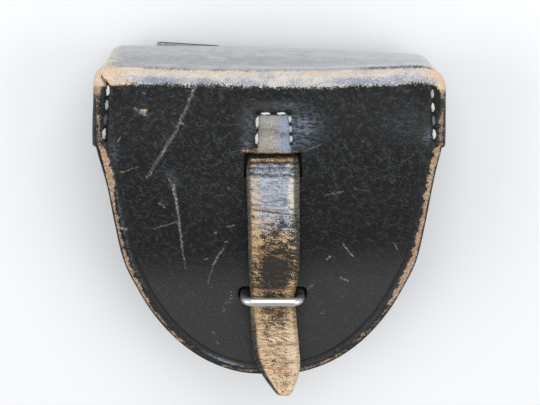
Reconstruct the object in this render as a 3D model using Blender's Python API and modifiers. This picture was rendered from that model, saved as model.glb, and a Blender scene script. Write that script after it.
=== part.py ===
"""Leather belt pouch with a half-round front flap.

One hide makes the back, the lid and the front flap. A flat front panel and a U-shaped gusset close
the pouch below the lid. A strap sewn behind the flap comes out through a slot and goes under a wire
staple, and two belt loops are sewn on the back.

The pouch lies on its back, on the belt loops, with the middle of its outline over the origin.
+Z points out of the front flap, +Y towards the lid, and sizes are in metres.
"""
import math
from collections import namedtuple

import bmesh
import bpy
from mathutils import Vector

# Leather and wire
GAP = 0.0003            # kept between pieces that touch
HIDE = 0.0026           # thickness of the cover
PANEL = 0.0024          # thickness of the front panel, the gusset and the belt loops
STRAP = 0.0028          # thickness of the closure strap
WIRE = 0.0034           # diameter of the staple's wire

# Cover
HALF_WIDTH = 0.0635     # half of the lid, over its ears, at the front
LID_TOP = 0.0640        # Y of the lid's top
EAR_END = 0.0340        # Y where the ears beside the lid stop
BOX_DEPTH = 0.0400      # outside, from the back to the front flap
TOP_ROLL = 0.0062       # radius where the lid turns down
CORNER_ROLL = 0.0030    # radius of the upright corners
BACK_TAPER = 0.0016     # the lid is this much narrower on each side behind its front seams
TOP_TAPER = 0.0009      # and this much narrower on each side at its top
LEFT_FLARE = 0.0008     # the left ear's low end stands out by this
FLAP_CROWN = 0.0030     # how far the middle of the flap bulges
CROWN_Y = 0.020         # Y where it bulges most
CROWN_UP = 0.066        # from there to where the bulge would end, upwards
CROWN_DOWN = 0.078      # the same, downwards
LID_DIP = 0.0008        # the lid's front edge is this much lower in the middle
LID_DISH = 0.0008       # hollow of the lid between its front and rear edge
REAR_DROP = 0.0009      # the lid's rear edge is this much lower than its front edge
REAR_SAG = 0.0037       # and its right end sinks by this much more
SAG_REACH = 0.040       # the sag fades out over this height

# Body under the cover
BODY_HALF = 0.0579      # half of the sewn body, inside the ears
MOUTH = 0.0520          # Y of the body's open end
EDGE_INSET = 0.0012     # the sewn edge lies this far inside the flap's edge
SEAM = 0.0045           # width of the gusset's sewn edges

# Strap and its seat in the flap
STRAP_MIDDLE = 0.0012   # X of the strap and the staple, a little right of the middle
SLOT_HALF = 0.0105
SLOT_LIP = 0.0330       # Y of the slot's upper lip
SLOT_LOW = 0.0232
PAD_HALF = 0.0076       # the flap swells over the strap's sewn end
PAD_TOP = 0.0506
PAD_RISE = 0.0012
PAD_EDGE = 0.0026

# Staple
STAPLE_Y = -0.0230
STAPLE_MIDDLE = 0.0009
STAPLE_SPAN = 0.0206    # between the middles of its legs
BAR_HEIGHT = 0.0563     # Z of the middle of its bar
BAR_BEND = 0.0032
CLINCH = 0.0060         # length of a leg turned outwards inside the pouch
CLINCH_BEND = 0.0022
STAPLE_SLOT_HALF = 0.01285
STAPLE_SLOT_LOW = -0.0253
STAPLE_SLOT_HIGH = -0.0198

# Belt loops
BELT_GAP = 0.0054       # between a loop and the back
LOOP_WIDTH = 0.024
LOOP_X = 0.035          # middle of a loop
LOOP_FLAT_HIGH = 0.042  # a loop lies flat between these two
LOOP_FLAT_LOW = -0.008
LOOP_RAMP = 0.006       # over which a loop comes back to the back panel
LOOP_LOW_END = -0.022
LOOP_TILT = math.radians(-2.6)

# Heights through the pouch, from the surface it lies on
BACK = PANEL + BELT_GAP
FRONT = BACK + BOX_DEPTH
PANEL_FRONT = FRONT - HIDE - GAP
PANEL_BACK = PANEL_FRONT - PANEL
GUSSET_FRONT = PANEL_BACK - GAP
GUSSET_BACK = BACK + HIDE + GAP

EdgeRow = namedtuple("EdgeRow", "half_width y")
StrapRow = namedtuple("StrapRow", "y z left right")
LoopEnd = namedtuple("LoopEnd", "name x high_end tilt")

# The flap's edge, from the end of an ear down to the middle of the round end
FLAP_EDGE = (
    EdgeRow(0.0624, 0.0340),
    EdgeRow(0.0599, 0.0225),
    EdgeRow(0.0574, 0.0050),
    EdgeRow(0.0547, -0.0100),
    EdgeRow(0.0505, -0.0203),
    EdgeRow(0.0443, -0.0320),
    EdgeRow(0.0350, -0.0436),
    EdgeRow(0.0240, -0.0520),
    EdgeRow(0.0120, -0.0567),
    EdgeRow(0.0000, -0.0578),
)

# The strap's outer face, from its sewn end behind the flap down to its tip
STRAP_ROWS = (
    StrapRow(0.0498, 0.0482, -0.0058, 0.0082),
    StrapRow(0.0420, 0.0485, -0.0060, 0.0084),
    StrapRow(0.0345, 0.0487, -0.0062, 0.0086),
    StrapRow(0.0310, 0.0497, -0.0080, 0.0103),
    StrapRow(0.0275, 0.0517, -0.0085, 0.0107),
    StrapRow(0.0235, 0.0540, -0.0085, 0.0107),
    StrapRow(0.0180, 0.0552, -0.0083, 0.0107),
    StrapRow(0.0080, 0.0557, -0.0081, 0.0108),
    StrapRow(-0.0040, 0.0554, -0.0080, 0.0109),
    StrapRow(-0.0140, 0.0548, -0.0077, 0.0107),
    StrapRow(-0.0190, 0.0545, -0.0075, 0.0097),
    StrapRow(-0.0230, 0.0542, -0.0073, 0.0091),
    StrapRow(-0.0280, 0.0536, -0.0073, 0.0097),
    StrapRow(-0.0360, 0.0527, -0.0072, 0.0103),
    StrapRow(-0.0440, 0.0520, -0.0068, 0.0110),
    StrapRow(-0.0500, 0.0517, -0.0056, 0.0115),
    StrapRow(-0.0550, 0.0519, -0.0035, 0.0112),
    StrapRow(-0.0600, 0.0525, -0.0002, 0.0096),
    StrapRow(-0.0631, 0.0530, 0.0022, 0.0083),
    StrapRow(-0.0640, 0.0532, 0.0036, 0.0072),
)

# The left loop's upper end stands above the lid's rear edge, and the loop leans a little
LOOPS = (
    LoopEnd("belt_loop_left", -LOOP_X, 0.0628, LOOP_TILT),
    LoopEnd("belt_loop_right", LOOP_X, 0.0575, 0.0),
)


def smoothstep(value, low, high):
    """0 below low, 1 above high, and a smooth rise between them."""
    share = min(max((value - low) / (high - low), 0.0), 1.0)
    return share * share * (3.0 - 2.0 * share)


def smooth_rows(rows, steps):
    """Rows of numbers read along a smooth curve through the given rows."""
    ends = [2 * Vector(rows[0]) - Vector(rows[1]), 2 * Vector(rows[-1]) - Vector(rows[-2])]
    knots = [ends[0]] + [Vector(row) for row in rows] + [ends[1]]
    result = []
    for before, start, stop, after in zip(knots, knots[1:], knots[2:], knots[3:]):
        for step in range(steps):
            t = step / steps
            slope_in = (stop - before) / 2
            slope_out = (after - start) / 2
            result.append(
                start * (2 * t**3 - 3 * t**2 + 1)
                + slope_in * (t**3 - 2 * t**2 + t)
                + stop * (3 * t**2 - 2 * t**3)
                + slope_out * (t**3 - t**2)
            )
    return result + [Vector(rows[-1])]


def flare(x, y):
    """How far the left side stands out round the low end of its ear."""
    height = smoothstep(y, 0.014, EAR_END) * (1 - smoothstep(y, EAR_END, LID_TOP))
    return LEFT_FLARE * height * max(0.0, -x / HALF_WIDTH)


def flap_edge():
    """The flap's whole edge as a U, from the right ear round to the left one."""
    mirrored = [EdgeRow(-row.half_width, row.y) for row in reversed(FLAP_EDGE[:-1])]
    edge = smooth_rows(FLAP_EDGE + tuple(mirrored), 4)
    return [Vector((point.x - flare(point.x, point.y), point.y)) for point in edge]


def body_edge(inset):
    """A U inside the flap's edge, up to the pouch's mouth, inset from the body's sewn edge."""
    edge = flap_edge()
    reach = BODY_HALF - inset
    points = []
    for before, here, after in zip([edge[0]] + edge, edge, edge[1:] + [edge[-1]]):
        along = (after - before).normalized()
        inwards = Vector((along.y, -along.x))
        point = here + inwards * (EDGE_INSET + inset)
        points.append(Vector((min(max(point.x, -reach), reach), point.y)))
    return [Vector((reach, MOUTH))] + points + [Vector((-reach, MOUTH))]


def link(name, data, collection):
    """A new object of the given mesh or curve in a collection."""
    result = bpy.data.objects.new(name, data)
    collection.objects.link(result)
    return result


def evaluated_mesh(source):
    """The mesh of an object with its modifiers or bevel applied."""
    depsgraph = bpy.context.evaluated_depsgraph_get()
    return bpy.data.meshes.new_from_object(source.evaluated_get(depsgraph))


def mesh_from_curve(curve_object, collection):
    """Turn a curve object into a closed mesh object in the same place, and remove the curve."""
    name = curve_object.name
    mesh = evaluated_mesh(curve_object)
    bm = bmesh.new()
    bm.from_mesh(mesh)
    bmesh.ops.remove_doubles(bm, verts=bm.verts, dist=1e-6)
    bmesh.ops.recalc_face_normals(bm, faces=bm.faces)
    bm.to_mesh(mesh)
    bm.free()
    place = curve_object.matrix_world.copy()
    bpy.data.objects.remove(curve_object)
    result = link(name, mesh, collection)
    result.matrix_world = place
    return result


def poly_curve(name, points, cyclic, collection):
    """A curve of straight pieces through 2D or 3D points."""
    data = bpy.data.curves.new(name, "CURVE")
    data.dimensions = "2D" if len(points[0]) == 2 else "3D"
    spline = data.splines.new("POLY")
    spline.points.add(len(points) - 1)
    for spline_point, point in zip(spline.points, points):
        spline_point.co = (*point, 1.0) if len(point) == 3 else (*point, 0.0, 1.0)
    spline.use_cyclic_u = cyclic
    return link(name, data, collection)


def plate(name, outline, low, high, collection):
    """A flat outline given thickness between two heights."""
    curve_object = poly_curve(name, outline, True, collection)
    curve_object.data.fill_mode = "BOTH"
    curve_object.data.extrude = (high - low) / 2
    curve_object.location.z = (high + low) / 2
    bpy.context.view_layer.update()
    return mesh_from_curve(curve_object, collection)


def block(name, low, high, collection):
    """A box between two corners."""
    bm = bmesh.new()
    bmesh.ops.create_cube(bm, size=1.0)
    bmesh.ops.scale(bm, vec=Vector(high) - Vector(low), verts=bm.verts)
    bmesh.ops.translate(bm, vec=(Vector(high) + Vector(low)) / 2, verts=bm.verts)
    mesh = bpy.data.meshes.new(name)
    bm.to_mesh(mesh)
    bm.free()
    return link(name, mesh, collection)


def cut(target, cutter, operation):
    """Cut a target with a cutter that stays out of the model."""
    cutter.hide_render = True
    cutter.display_type = "WIRE"
    boolean = target.modifiers.new(cutter.name, "BOOLEAN")
    boolean.operation = operation
    boolean.object = cutter


def crown(x, y):
    """How far the flap's face bulges at a place."""
    reach = CROWN_UP if y > CROWN_Y else CROWN_DOWN
    return FLAP_CROWN * max(0.0, 1 - (x / HALF_WIDTH) ** 2 - ((y - CROWN_Y) / reach) ** 2)


def pad(x, y):
    """How far the strap's sewn end pushes the flap out."""
    across = 1 - smoothstep(abs(x - STRAP_MIDDLE), PAD_HALF, PAD_HALF + PAD_EDGE)
    upper = 1 - smoothstep(y, PAD_TOP, PAD_TOP + PAD_EDGE)
    lower = smoothstep(y, SLOT_LOW, SLOT_LIP)
    return PAD_RISE * across * upper * lower


def taper(y, front_share):
    """How much narrower one side of the lid is behind its front seams and towards its top."""
    behind = 1 - smoothstep(front_share, 0.5, 0.92)
    return BACK_TAPER * behind + TOP_TAPER * smoothstep(y, EAR_END, LID_TOP)


def sag(x, y, front_share):
    """How far the lid sinks: its rear edge, its front middle and its hollow."""
    upper = smoothstep(y, LID_TOP - SAG_REACH, LID_TOP)
    rear = (REAR_DROP + REAR_SAG * max(0.0, x / HALF_WIDTH) ** 1.3) * (1 - front_share)
    dip = LID_DIP * max(0.0, 1 - (x / (0.8 * HALF_WIDTH)) ** 2) * front_share
    dish = LID_DISH * 4 * front_share * (1 - front_share) * max(0.0, 1 - (x / HALF_WIDTH) ** 2)
    return upper * (rear + dip) + smoothstep(y, LID_TOP - TOP_ROLL, LID_TOP) * dish


def rolled_box(collection):
    """The lid's box, open at its low end, with rolled top edges and upright corners."""
    box_low = FLAP_EDGE[-1].y - 0.002
    cover = block("cover", (-HALF_WIDTH, box_low, BACK), (HALF_WIDTH, LID_TOP, FRONT), collection)
    bm = bmesh.new()
    bm.from_mesh(cover.data)
    low_face = min(bm.faces, key=lambda face: face.calc_center_median().y)
    bmesh.ops.delete(bm, geom=[low_face], context="FACES")
    weights = bm.edges.layers.float.new("bevel_weight_edge")
    for edge in bm.edges:
        on_top = min(vert.co.y for vert in edge.verts) > 0
        if not edge.is_boundary:
            edge[weights] = 1.0 if on_top else CORNER_ROLL / TOP_ROLL
    bm.to_mesh(cover.data)
    bm.free()
    bevel = cover.modifiers.new("rolls", "BEVEL")
    bevel.limit_method = "WEIGHT"
    bevel.width = TOP_ROLL
    bevel.segments = 4
    cover.data = evaluated_mesh(cover)
    cover.modifiers.clear()
    return cover


def shape_cover(cover):
    """Divide the rolled box and give it its bulge, the swelling over the strap, taper and sag."""
    pad_edges = [STRAP_MIDDLE + side * (PAD_HALF + step) for side in (-1, 1) for step in (0, PAD_EDGE)]
    wide = [side * step * 0.0095 for side in (-1, 1) for step in (2, 3, 4, 5.5)]
    columns = [(x, 0, 0) for x in sorted(pad_edges + wide + [STRAP_MIDDLE])]
    heights = [-0.048, -0.037, -0.026, -0.015, -0.004, 0.007, 0.016, SLOT_LOW, 0.028, SLOT_LIP]
    rows = [(0, y, 0) for y in heights + [0.042, PAD_TOP, PAD_TOP + PAD_EDGE]]
    layers = [(0, 0, BACK + BOX_DEPTH * share) for share in (0.25, 0.42, 0.58, 0.75)]
    bm = bmesh.new()
    bm.from_mesh(cover.data)
    for normal, places in (((1, 0, 0), columns), ((0, 1, 0), rows), ((0, 0, 1), layers)):
        for place in places:
            everything = bm.verts[:] + bm.edges[:] + bm.faces[:]
            bmesh.ops.bisect_plane(bm, geom=everything, plane_co=place, plane_no=normal)
    for vert in bm.verts:
        x, y, z = vert.co
        front_share = (z - BACK) / BOX_DEPTH
        face_share = max(0.0, 2 * front_share - 1)
        vert.co.z += crown(x, y) * face_share + pad(x, y) * smoothstep(front_share, 0.8, 1.0)
        vert.co.y -= sag(x, y, front_share)
        vert.co.x *= 1 - taper(y, front_share) / HALF_WIDTH
        vert.co.x -= flare(x, y)
    bm.to_mesh(cover.data)
    bm.free()


def make_cover(parts, cutters):
    """The hide of back, lid and flap, cut to the flap's outline, with its ears and two slots."""
    cover = rolled_box(parts)
    shape_cover(cover)
    solidify = cover.modifiers.new("hide", "SOLIDIFY")
    solidify.thickness = HIDE
    solidify.offset = -1
    solidify.use_even_offset = True

    # The shoulders stay a hair above the ear cutter, so the two cutters share no face
    wide = HALF_WIDTH + 0.004
    shoulder = EAR_END + 0.0001
    corners = ((-wide, shoulder), (-wide, 0.08), (wide, 0.08), (wide, shoulder))
    shoulders = [Vector(corner) for corner in corners]
    outline = plate("cover_outline", flap_edge() + shoulders, 0.0, 0.07, cutters)
    cut(cover, outline, "INTERSECT")
    sides = block(
        "ear_cutter", (-wide, -0.08, BACK + CORNER_ROLL), (wide, EAR_END, FRONT - CORNER_ROLL), cutters
    )
    cut(cover, sides, "DIFFERENCE")
    strap_slot = block(
        "strap_slot",
        (STRAP_MIDDLE - SLOT_HALF, SLOT_LOW, PANEL_BACK),
        (STRAP_MIDDLE + SLOT_HALF, SLOT_LIP, 0.07),
        cutters,
    )
    cut(cover, strap_slot, "DIFFERENCE")
    staple_slot = block(
        "staple_slot",
        (STAPLE_MIDDLE - STAPLE_SLOT_HALF, STAPLE_SLOT_LOW, PANEL_BACK),
        (STAPLE_MIDDLE + STAPLE_SLOT_HALF, STAPLE_SLOT_HIGH, 0.07),
        cutters,
    )
    cut(cover, staple_slot, "DIFFERENCE")
    return cover


def make_front_panel(parts, cutters):
    """The body's front wall, with a hole for each leg of the staple."""
    panel = plate("front_panel", body_edge(0.0), PANEL_BACK, PANEL_FRONT, parts)
    for side in (-1, 1):
        bpy.ops.mesh.primitive_cylinder_add(
            vertices=12,
            radius=(WIRE / 2 + GAP) / math.cos(math.pi / 12),
            depth=4 * PANEL,
            location=(STAPLE_MIDDLE + side * STAPLE_SPAN / 2, STAPLE_Y, PANEL_BACK),
        )
        hole = bpy.context.object
        hole.name = "leg_hole"
        hole.users_collection[0].objects.unlink(hole)
        cutters.objects.link(hole)
        cut(panel, hole, "DIFFERENCE")
    return panel


def make_gusset(parts):
    """The side and bottom wall: a channel that is open outwards, swept round the body's edge."""
    # Along this path a section's own +X points into the pouch
    section = [
        (-SEAM, GUSSET_FRONT),
        (-SEAM, GUSSET_FRONT - PANEL),
        (0.0, GUSSET_FRONT - PANEL),
        (0.0, GUSSET_BACK + PANEL),
        (-SEAM, GUSSET_BACK + PANEL),
        (-SEAM, GUSSET_BACK),
        (PANEL, GUSSET_BACK),
        (PANEL, GUSSET_FRONT),
    ]
    profile = poly_curve("gusset_section", section, True, parts)
    path = poly_curve("gusset", [point.to_3d() for point in body_edge(SEAM)], False, parts)
    path.data.bevel_mode = "OBJECT"
    path.data.bevel_object = profile
    path.data.use_fill_caps = True
    gusset = mesh_from_curve(path, parts)
    bpy.data.objects.remove(profile)
    return gusset


def ribbon(name, rows, thickness, columns, collection):
    """A strip of leather whose outer face goes through rows of y, z, left and right."""
    bm = bmesh.new()
    bmesh.ops.create_grid(bm, x_segments=columns, y_segments=len(rows) - 1, size=0.5)
    for vert in bm.verts:
        row = rows[round((0.5 - vert.co.y) * (len(rows) - 1))]
        across = vert.co.x + 0.5
        vert.co = (row[2] + (row[3] - row[2]) * across, row[0], row[1])
    mesh = bpy.data.meshes.new(name)
    bm.to_mesh(mesh)
    bm.free()
    strip = link(name, mesh, collection)
    solidify = strip.modifiers.new("leather", "SOLIDIFY")
    solidify.thickness = thickness
    solidify.offset = -1
    solidify.use_even_offset = True
    bevel = strip.modifiers.new("worn_edges", "BEVEL")
    bevel.width = 0.0007
    bevel.segments = 2
    bevel.limit_method = "ANGLE"
    bevel.angle_limit = math.radians(50)
    return strip


def make_belt_loop(loop, parts):
    """A strip that stands off the back between its two sewn ends."""
    stand_off = BACK - GAP - PANEL
    ramp_top = LOOP_FLAT_HIGH + LOOP_RAMP
    ramp_low = LOOP_FLAT_LOW - LOOP_RAMP
    high_ramp = [LOOP_FLAT_HIGH + LOOP_RAMP * step / 4 for step in range(4, -1, -1)]
    low_ramp = [LOOP_FLAT_LOW - LOOP_RAMP * step / 4 for step in range(5)]
    rows = []
    for y in [loop.high_end] + high_ramp + low_ramp + [LOOP_LOW_END]:
        lift = smoothstep(y, LOOP_FLAT_HIGH, ramp_top) + smoothstep(-y, -LOOP_FLAT_LOW, -ramp_low)
        rows.append((y, -stand_off * lift, -LOOP_WIDTH / 2, LOOP_WIDTH / 2))
    strip = ribbon(loop.name, rows, PANEL, 3, parts)
    strip.location = (loop.x, 0, 0)
    strip.rotation_euler = (0, math.pi, loop.tilt)
    return strip


def arc(centre, radius, start, stop, steps):
    """Points in the XZ plane along an arc, its angles in degrees."""
    points = []
    for step in range(steps + 1):
        angle = math.radians(start + (stop - start) * step / steps)
        points.append((centre[0] + radius * math.cos(angle), centre[1] + radius * math.sin(angle)))
    return points


def make_staple(parts):
    """The wire loop: a bar over the strap, two legs, and their ends clinched behind the panel."""
    leg = STAPLE_SPAN / 2
    clinch_z = PANEL_BACK - GAP - WIRE / 2
    right = arc((leg - BAR_BEND, BAR_HEIGHT - BAR_BEND), BAR_BEND, 90, 0, 5)
    right += arc((leg + CLINCH_BEND, clinch_z + CLINCH_BEND), CLINCH_BEND, 180, 270, 4)
    right.append((leg + CLINCH, clinch_z))
    left = [(-x, z) for x, z in reversed(right)]
    points = [(STAPLE_MIDDLE + x, STAPLE_Y, z) for x, z in left + right]
    staple = poly_curve("staple", points, False, parts)
    staple.data.bevel_depth = WIRE / 2
    staple.data.bevel_resolution = 2
    staple.data.use_fill_caps = True
    return staple


def material(name, colour, roughness, metallic):
    """A plain surface of one colour."""
    result = bpy.data.materials.new(name)
    result.use_nodes = True
    shader = result.node_tree.nodes["Principled BSDF"]
    shader.inputs["Base Color"].default_value = (*colour, 1.0)
    shader.inputs["Roughness"].default_value = roughness
    shader.inputs["Metallic"].default_value = metallic
    return result


def main():
    for old in list(bpy.data.objects):
        bpy.data.objects.remove(old)
    parts = bpy.data.collections.new("belt_pouch")
    cutters = bpy.data.collections.new("cutters")
    for collection in (parts, cutters):
        bpy.context.scene.collection.children.link(collection)

    black = material("black_leather", (0.022, 0.021, 0.020), 0.45, 0.0)
    brown = material("worn_strap_leather", (0.16, 0.10, 0.05), 0.50, 0.0)
    inner = material("inner_leather", (0.09, 0.06, 0.04), 0.70, 0.0)
    steel = material("steel_wire", (0.60, 0.60, 0.58), 0.28, 1.0)

    make_cover(parts, cutters).data.materials.append(black)
    make_front_panel(parts, cutters).data.materials.append(inner)
    make_gusset(parts).data.materials.append(inner)
    strap = ribbon("closure_strap", smooth_rows(STRAP_ROWS, 2), STRAP, 4, parts)
    strap.data.materials.append(brown)
    make_staple(parts).data.materials.append(steel)
    for loop in LOOPS:
        make_belt_loop(loop, parts).data.materials.append(black)


main()
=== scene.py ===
import math

import bmesh
import bpy
import numpy as np
from mathutils import Matrix, Vector


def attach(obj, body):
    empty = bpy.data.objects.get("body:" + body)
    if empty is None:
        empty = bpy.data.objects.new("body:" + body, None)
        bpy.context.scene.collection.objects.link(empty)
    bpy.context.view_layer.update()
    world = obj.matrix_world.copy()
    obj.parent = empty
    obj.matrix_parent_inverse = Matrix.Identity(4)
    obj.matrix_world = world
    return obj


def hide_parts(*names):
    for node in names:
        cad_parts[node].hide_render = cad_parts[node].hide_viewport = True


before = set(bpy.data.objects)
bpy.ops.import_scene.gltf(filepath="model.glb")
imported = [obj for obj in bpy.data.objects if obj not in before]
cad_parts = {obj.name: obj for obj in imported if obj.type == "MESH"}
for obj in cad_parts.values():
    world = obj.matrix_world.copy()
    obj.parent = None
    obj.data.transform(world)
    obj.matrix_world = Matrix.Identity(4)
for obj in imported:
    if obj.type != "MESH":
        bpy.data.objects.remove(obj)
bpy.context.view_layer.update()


# The cover is one stiff black hide of saddle leather that makes the back, the lid and the
# half-round flap. It was pressed wet over a block, so its folds are rolled, its ears are sewn
# at the two front corners, and a crease was run round the flap a few millimetres from its edge.
HIDE = 0.0026
HALF_WIDTH = 0.0635
LID_TOP = 0.0640
EAR_END = 0.0340
BACK = 0.0078
FRONT = 0.0478
DEPTH = FRONT - BACK
TOP_ROLL = 0.0062
CORNER_ROLL = 0.0030
FLAP_LOW = -0.0578
ROLL_STEPS = 8
RIM_STEP = 3            # the flap's rim runs along this column of the corner's roll
RIM_X = HALF_WIDTH - CORNER_ROLL + CORNER_ROLL * math.sin(math.pi / 2 * RIM_STEP / ROLL_STEPS)
BORDER = 0.0055         # width of the rim and crease, which follow the flap's edge
CREASE = 0.0046         # distance of the crease from the edge
HIDE_EDGE = (
    (RIM_X, 0.0340), (0.0599, 0.0225), (0.0574, 0.0050), (0.0547, -0.0100), (0.0505, -0.0203),
    (0.0443, -0.0320), (0.0350, -0.0436), (0.0240, -0.0520), (0.0120, -0.0567), (0.0, -0.0578),
)
EDGE_SHOULDER = (0.0443, -0.0320)
EDGE_ROLL = 0.00035     # the flap's edge turns down by so much, over its last EDGE_ROLL_WIDE
EDGE_ROLL_WIDE = 0.0022
# The grid's lines beside the rim, in from it: the roll's own columns, then the crease's
RIM_STEPS = (0.0, 0.0005186, 0.0010816, 0.0016667, 0.0025, 0.0032, 0.0038, 0.0042, 0.0046, 0.0050, 0.0055)
CROWN_MIDDLE = 0.0200   # the flap bulges most at this y, and falls off faster above it than below
CROWN_HIGH = 0.0030
CROWN_UP = 0.066
CROWN_DOWN = 0.078
WELT_MIDDLE = 0.0024
WELT_HIGH = 0.00022
CREASE_DEEP = 0.00045
STRAP_SLOT = (-0.0093, 0.0232, 0.0115, 0.0330)      # left, low, right and high
STRAP_SLOT_CORNER = 0.0006
STAPLE_SLOT = (-0.01195, -0.0253, 0.01375, -0.0198)
STAPLE_SLOT_CORNER = 0.0020
SLOT_MARGIN = 0.0015    # a slot's border points lie within this of it
SLOT_SNAP = 0.0009      # and those within this of a side are drawn on to it
SLOT_DOUBLED = 0.0002   # points nearer to each other than this are one
GRID_DOUBLED = 0.00002
CUT_ROUND = 0.00048
PAD_MIDDLE = 0.0012
PAD_HALF = 0.0074
PAD_TOP = 0.0502
PAD_HIGH = 0.0013
THREAD_MIDDLE = 0.0014  # the strap's end is sewn along these two sides and this top
THREAD_HALF = 0.0060
THREAD_TOP = 0.0477
THREAD_PULL = 0.0006
SEAM_X = 0.0583         # the ears are sewn along this line, beside the front corners
SEAM_LOW = 0.0365
SEAM_HIGH = 0.0576
SEAM_PULL = 0.0007
SEAM_RIDGE_X = 0.0609   # outside the seam the ear's edge stands up in a low ridge
SEAM_RIDGE = 0.00030
FLARE = 0.0008          # the left side stands out by this round the low end of its ear
TOP_NARROWING = 0.0009
BACK_NARROWING = 0.0016
LID_DIP = 0.0008        # the lid's front edge sinks by this in the middle
LID_DISH = 0.0032       # and the lid between its front and rear edges by a quarter of this


def alone(piece):
    """Only this piece is selected and active, as after a click on it."""
    bpy.ops.object.select_all(action="DESELECT")
    piece.select_set(True)
    bpy.context.view_layer.objects.active = piece


def pick(piece, kind, wanted):
    """In edit mode, select the faces or edges that pass a test."""
    bpy.ops.mesh.select_mode(type={"faces": "FACE", "edges": "EDGE"}[kind])
    bpy.ops.mesh.select_all(action="DESELECT")
    mesh = bmesh.from_edit_mesh(piece.data)
    for element in getattr(mesh, kind):
        if wanted(element):
            element.select_set(True)
    mesh.select_flush_mode()
    bmesh.update_edit_mesh(piece.data)


def slice_at(axis, places):
    """In edit mode, cut the whole piece across an axis at each place."""
    normal = [0.0, 0.0, 0.0]
    normal[axis] = 1.0
    for place in places:
        point = [0.0, 0.0, 0.0]
        point[axis] = place
        bpy.ops.mesh.select_all(action="SELECT")
        bpy.ops.mesh.bisect(plane_co=point, plane_no=normal)


def apply_modifier(piece, kind, **settings):
    """Add a modifier with its settings and apply it."""
    modifier = piece.modifiers.new(kind.lower(), kind)
    for name, value in settings.items():
        setattr(modifier, name, value)
    alone(piece)
    bpy.ops.object.modifier_apply(modifier=modifier.name)


def points_of(piece):
    """The piece's points as an array of x, y and z."""
    places = np.empty(len(piece.data.vertices) * 3)
    piece.data.vertices.foreach_get("co", places)
    return places.reshape(-1, 3)


def put_points(piece, places):
    """Move the piece's points to the places of an array."""
    piece.data.vertices.foreach_set("co", places.ravel())
    piece.data.update()


def store_values(piece, title, values):
    """Keep one number for each of the piece's points, which a material reads by its title."""
    layer = piece.data.attributes.get(title) or piece.data.attributes.new(title, "FLOAT", "POINT")
    layer.data.foreach_set("value", np.asarray(values, np.float32))


def values_of(piece, title):
    """The numbers that were kept under a title."""
    values = np.empty(len(piece.data.vertices), np.float32)
    piece.data.attributes[title].data.foreach_get("value", values)
    return values


def spread(low, high, pitch):
    """Even steps of about the given pitch, without the two ends."""
    count = max(1, round((high - low) / pitch))
    return [low + (high - low) * step / count for step in range(1, count)]


def rise(value, low, high):
    """0 below low, 1 above high and a smooth rise between them, for numbers or arrays."""
    share = np.clip((value - low) / (high - low), 0.0, 1.0)
    return share * share * (3.0 - 2.0 * share)


def bell(value, width):
    """1 where the value is 0, falling off smoothly over about the width."""
    return np.exp(-(value / width) ** 2)


def smooth_rows(rows, steps):
    """Rows of numbers read along a smooth curve through the given rows."""
    rows = [np.array(row, float) for row in rows]
    knots = [2 * rows[0] - rows[1]] + rows + [2 * rows[-1] - rows[-2]]
    result = []
    for before, start, stop, after in zip(knots, knots[1:], knots[2:], knots[3:]):
        for step in range(steps):
            t = step / steps
            result.append(
                start * (2 * t**3 - 3 * t**2 + 1)
                + (stop - before) / 2 * (t**3 - 2 * t**2 + t)
                + stop * (3 * t**2 - 2 * t**3)
                + (after - start) / 2 * (t**3 - t**2)
            )
    return result + [rows[-1]]


def along(line, share):
    """The place and the inward direction at a share of the way along a line of such pairs."""
    steps = [float(np.linalg.norm(b[0] - a[0])) for a, b in zip(line, line[1:])]
    left = min(max(share, 0.0), 1.0) * sum(steps)
    index = 0
    while index < len(steps) - 1 and left > steps[index]:
        left -= steps[index]
        index += 1
    part = left / steps[index]
    inward = line[index][1] * (1 - part) + line[index + 1][1] * part
    return line[index][0] * (1 - part) + line[index + 1][0] * part, inward / np.linalg.norm(inward)


def add_box(name, middle, size):
    """A box with its size in its mesh."""
    bpy.ops.object.select_all(action="DESELECT")
    bpy.ops.mesh.primitive_cube_add(size=1.0, location=middle, scale=size)
    box = bpy.context.object
    box.name = name
    bpy.ops.object.transform_apply(location=True, rotation=True, scale=True)
    return box


def crown(x, y):
    """How far the flap's face bulges at a place."""
    reach = np.where(y > CROWN_MIDDLE, CROWN_UP, CROWN_DOWN)
    return CROWN_HIGH * np.maximum(0.0, 1 - (x / HALF_WIDTH) ** 2 - ((y - CROWN_MIDDLE) / reach) ** 2)


def pad(x, y):
    """How far the strap's sewn end pushes the flap out, less where its stitches pull it in."""
    across = 1 - rise(abs(x - PAD_MIDDLE), PAD_HALF - 0.0008, PAD_HALF + 0.0022)
    upwards = 1 - rise(y, PAD_TOP - 0.0006, PAD_TOP + 0.0024)
    swelling = PAD_HIGH * across * upwards * rise(y, STRAP_SLOT[1], STRAP_SLOT[3])
    off_middle = abs(x - THREAD_MIDDLE)
    beside = bell(off_middle - THREAD_HALF, 0.0009) * rise(y, 0.034, 0.036) * (1 - rise(y, 0.047, 0.049))
    above = bell(y - THREAD_TOP, 0.0009) * (1 - rise(off_middle, THREAD_HALF - 0.0005, THREAD_HALF + 0.0010))
    return swelling - THREAD_PULL * np.maximum(beside, above)


def flap_relief(x, y, rim):
    """The height of the flap's outer face over its bulge: the swelling, the welt and the sewn corners."""
    below_ears = 1 - rise(y, EAR_END - 0.002, EAR_END + 0.006)
    welt = WELT_HIGH * bell(rim - WELT_MIDDLE, 0.0012) - CREASE_DEEP * bell(rim - CREASE, 0.00045)
    on_seam = rise(y, SEAM_LOW - 0.003, SEAM_LOW) * (1 - rise(y, SEAM_HIGH, SEAM_HIGH + 0.003))
    sewn = SEAM_RIDGE * bell(abs(x) - SEAM_RIDGE_X, 0.0011) - SEAM_PULL * bell(abs(x) - SEAM_X, 0.0008)
    return pad(x, y) + welt * below_ears + sewn * on_seam


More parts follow.
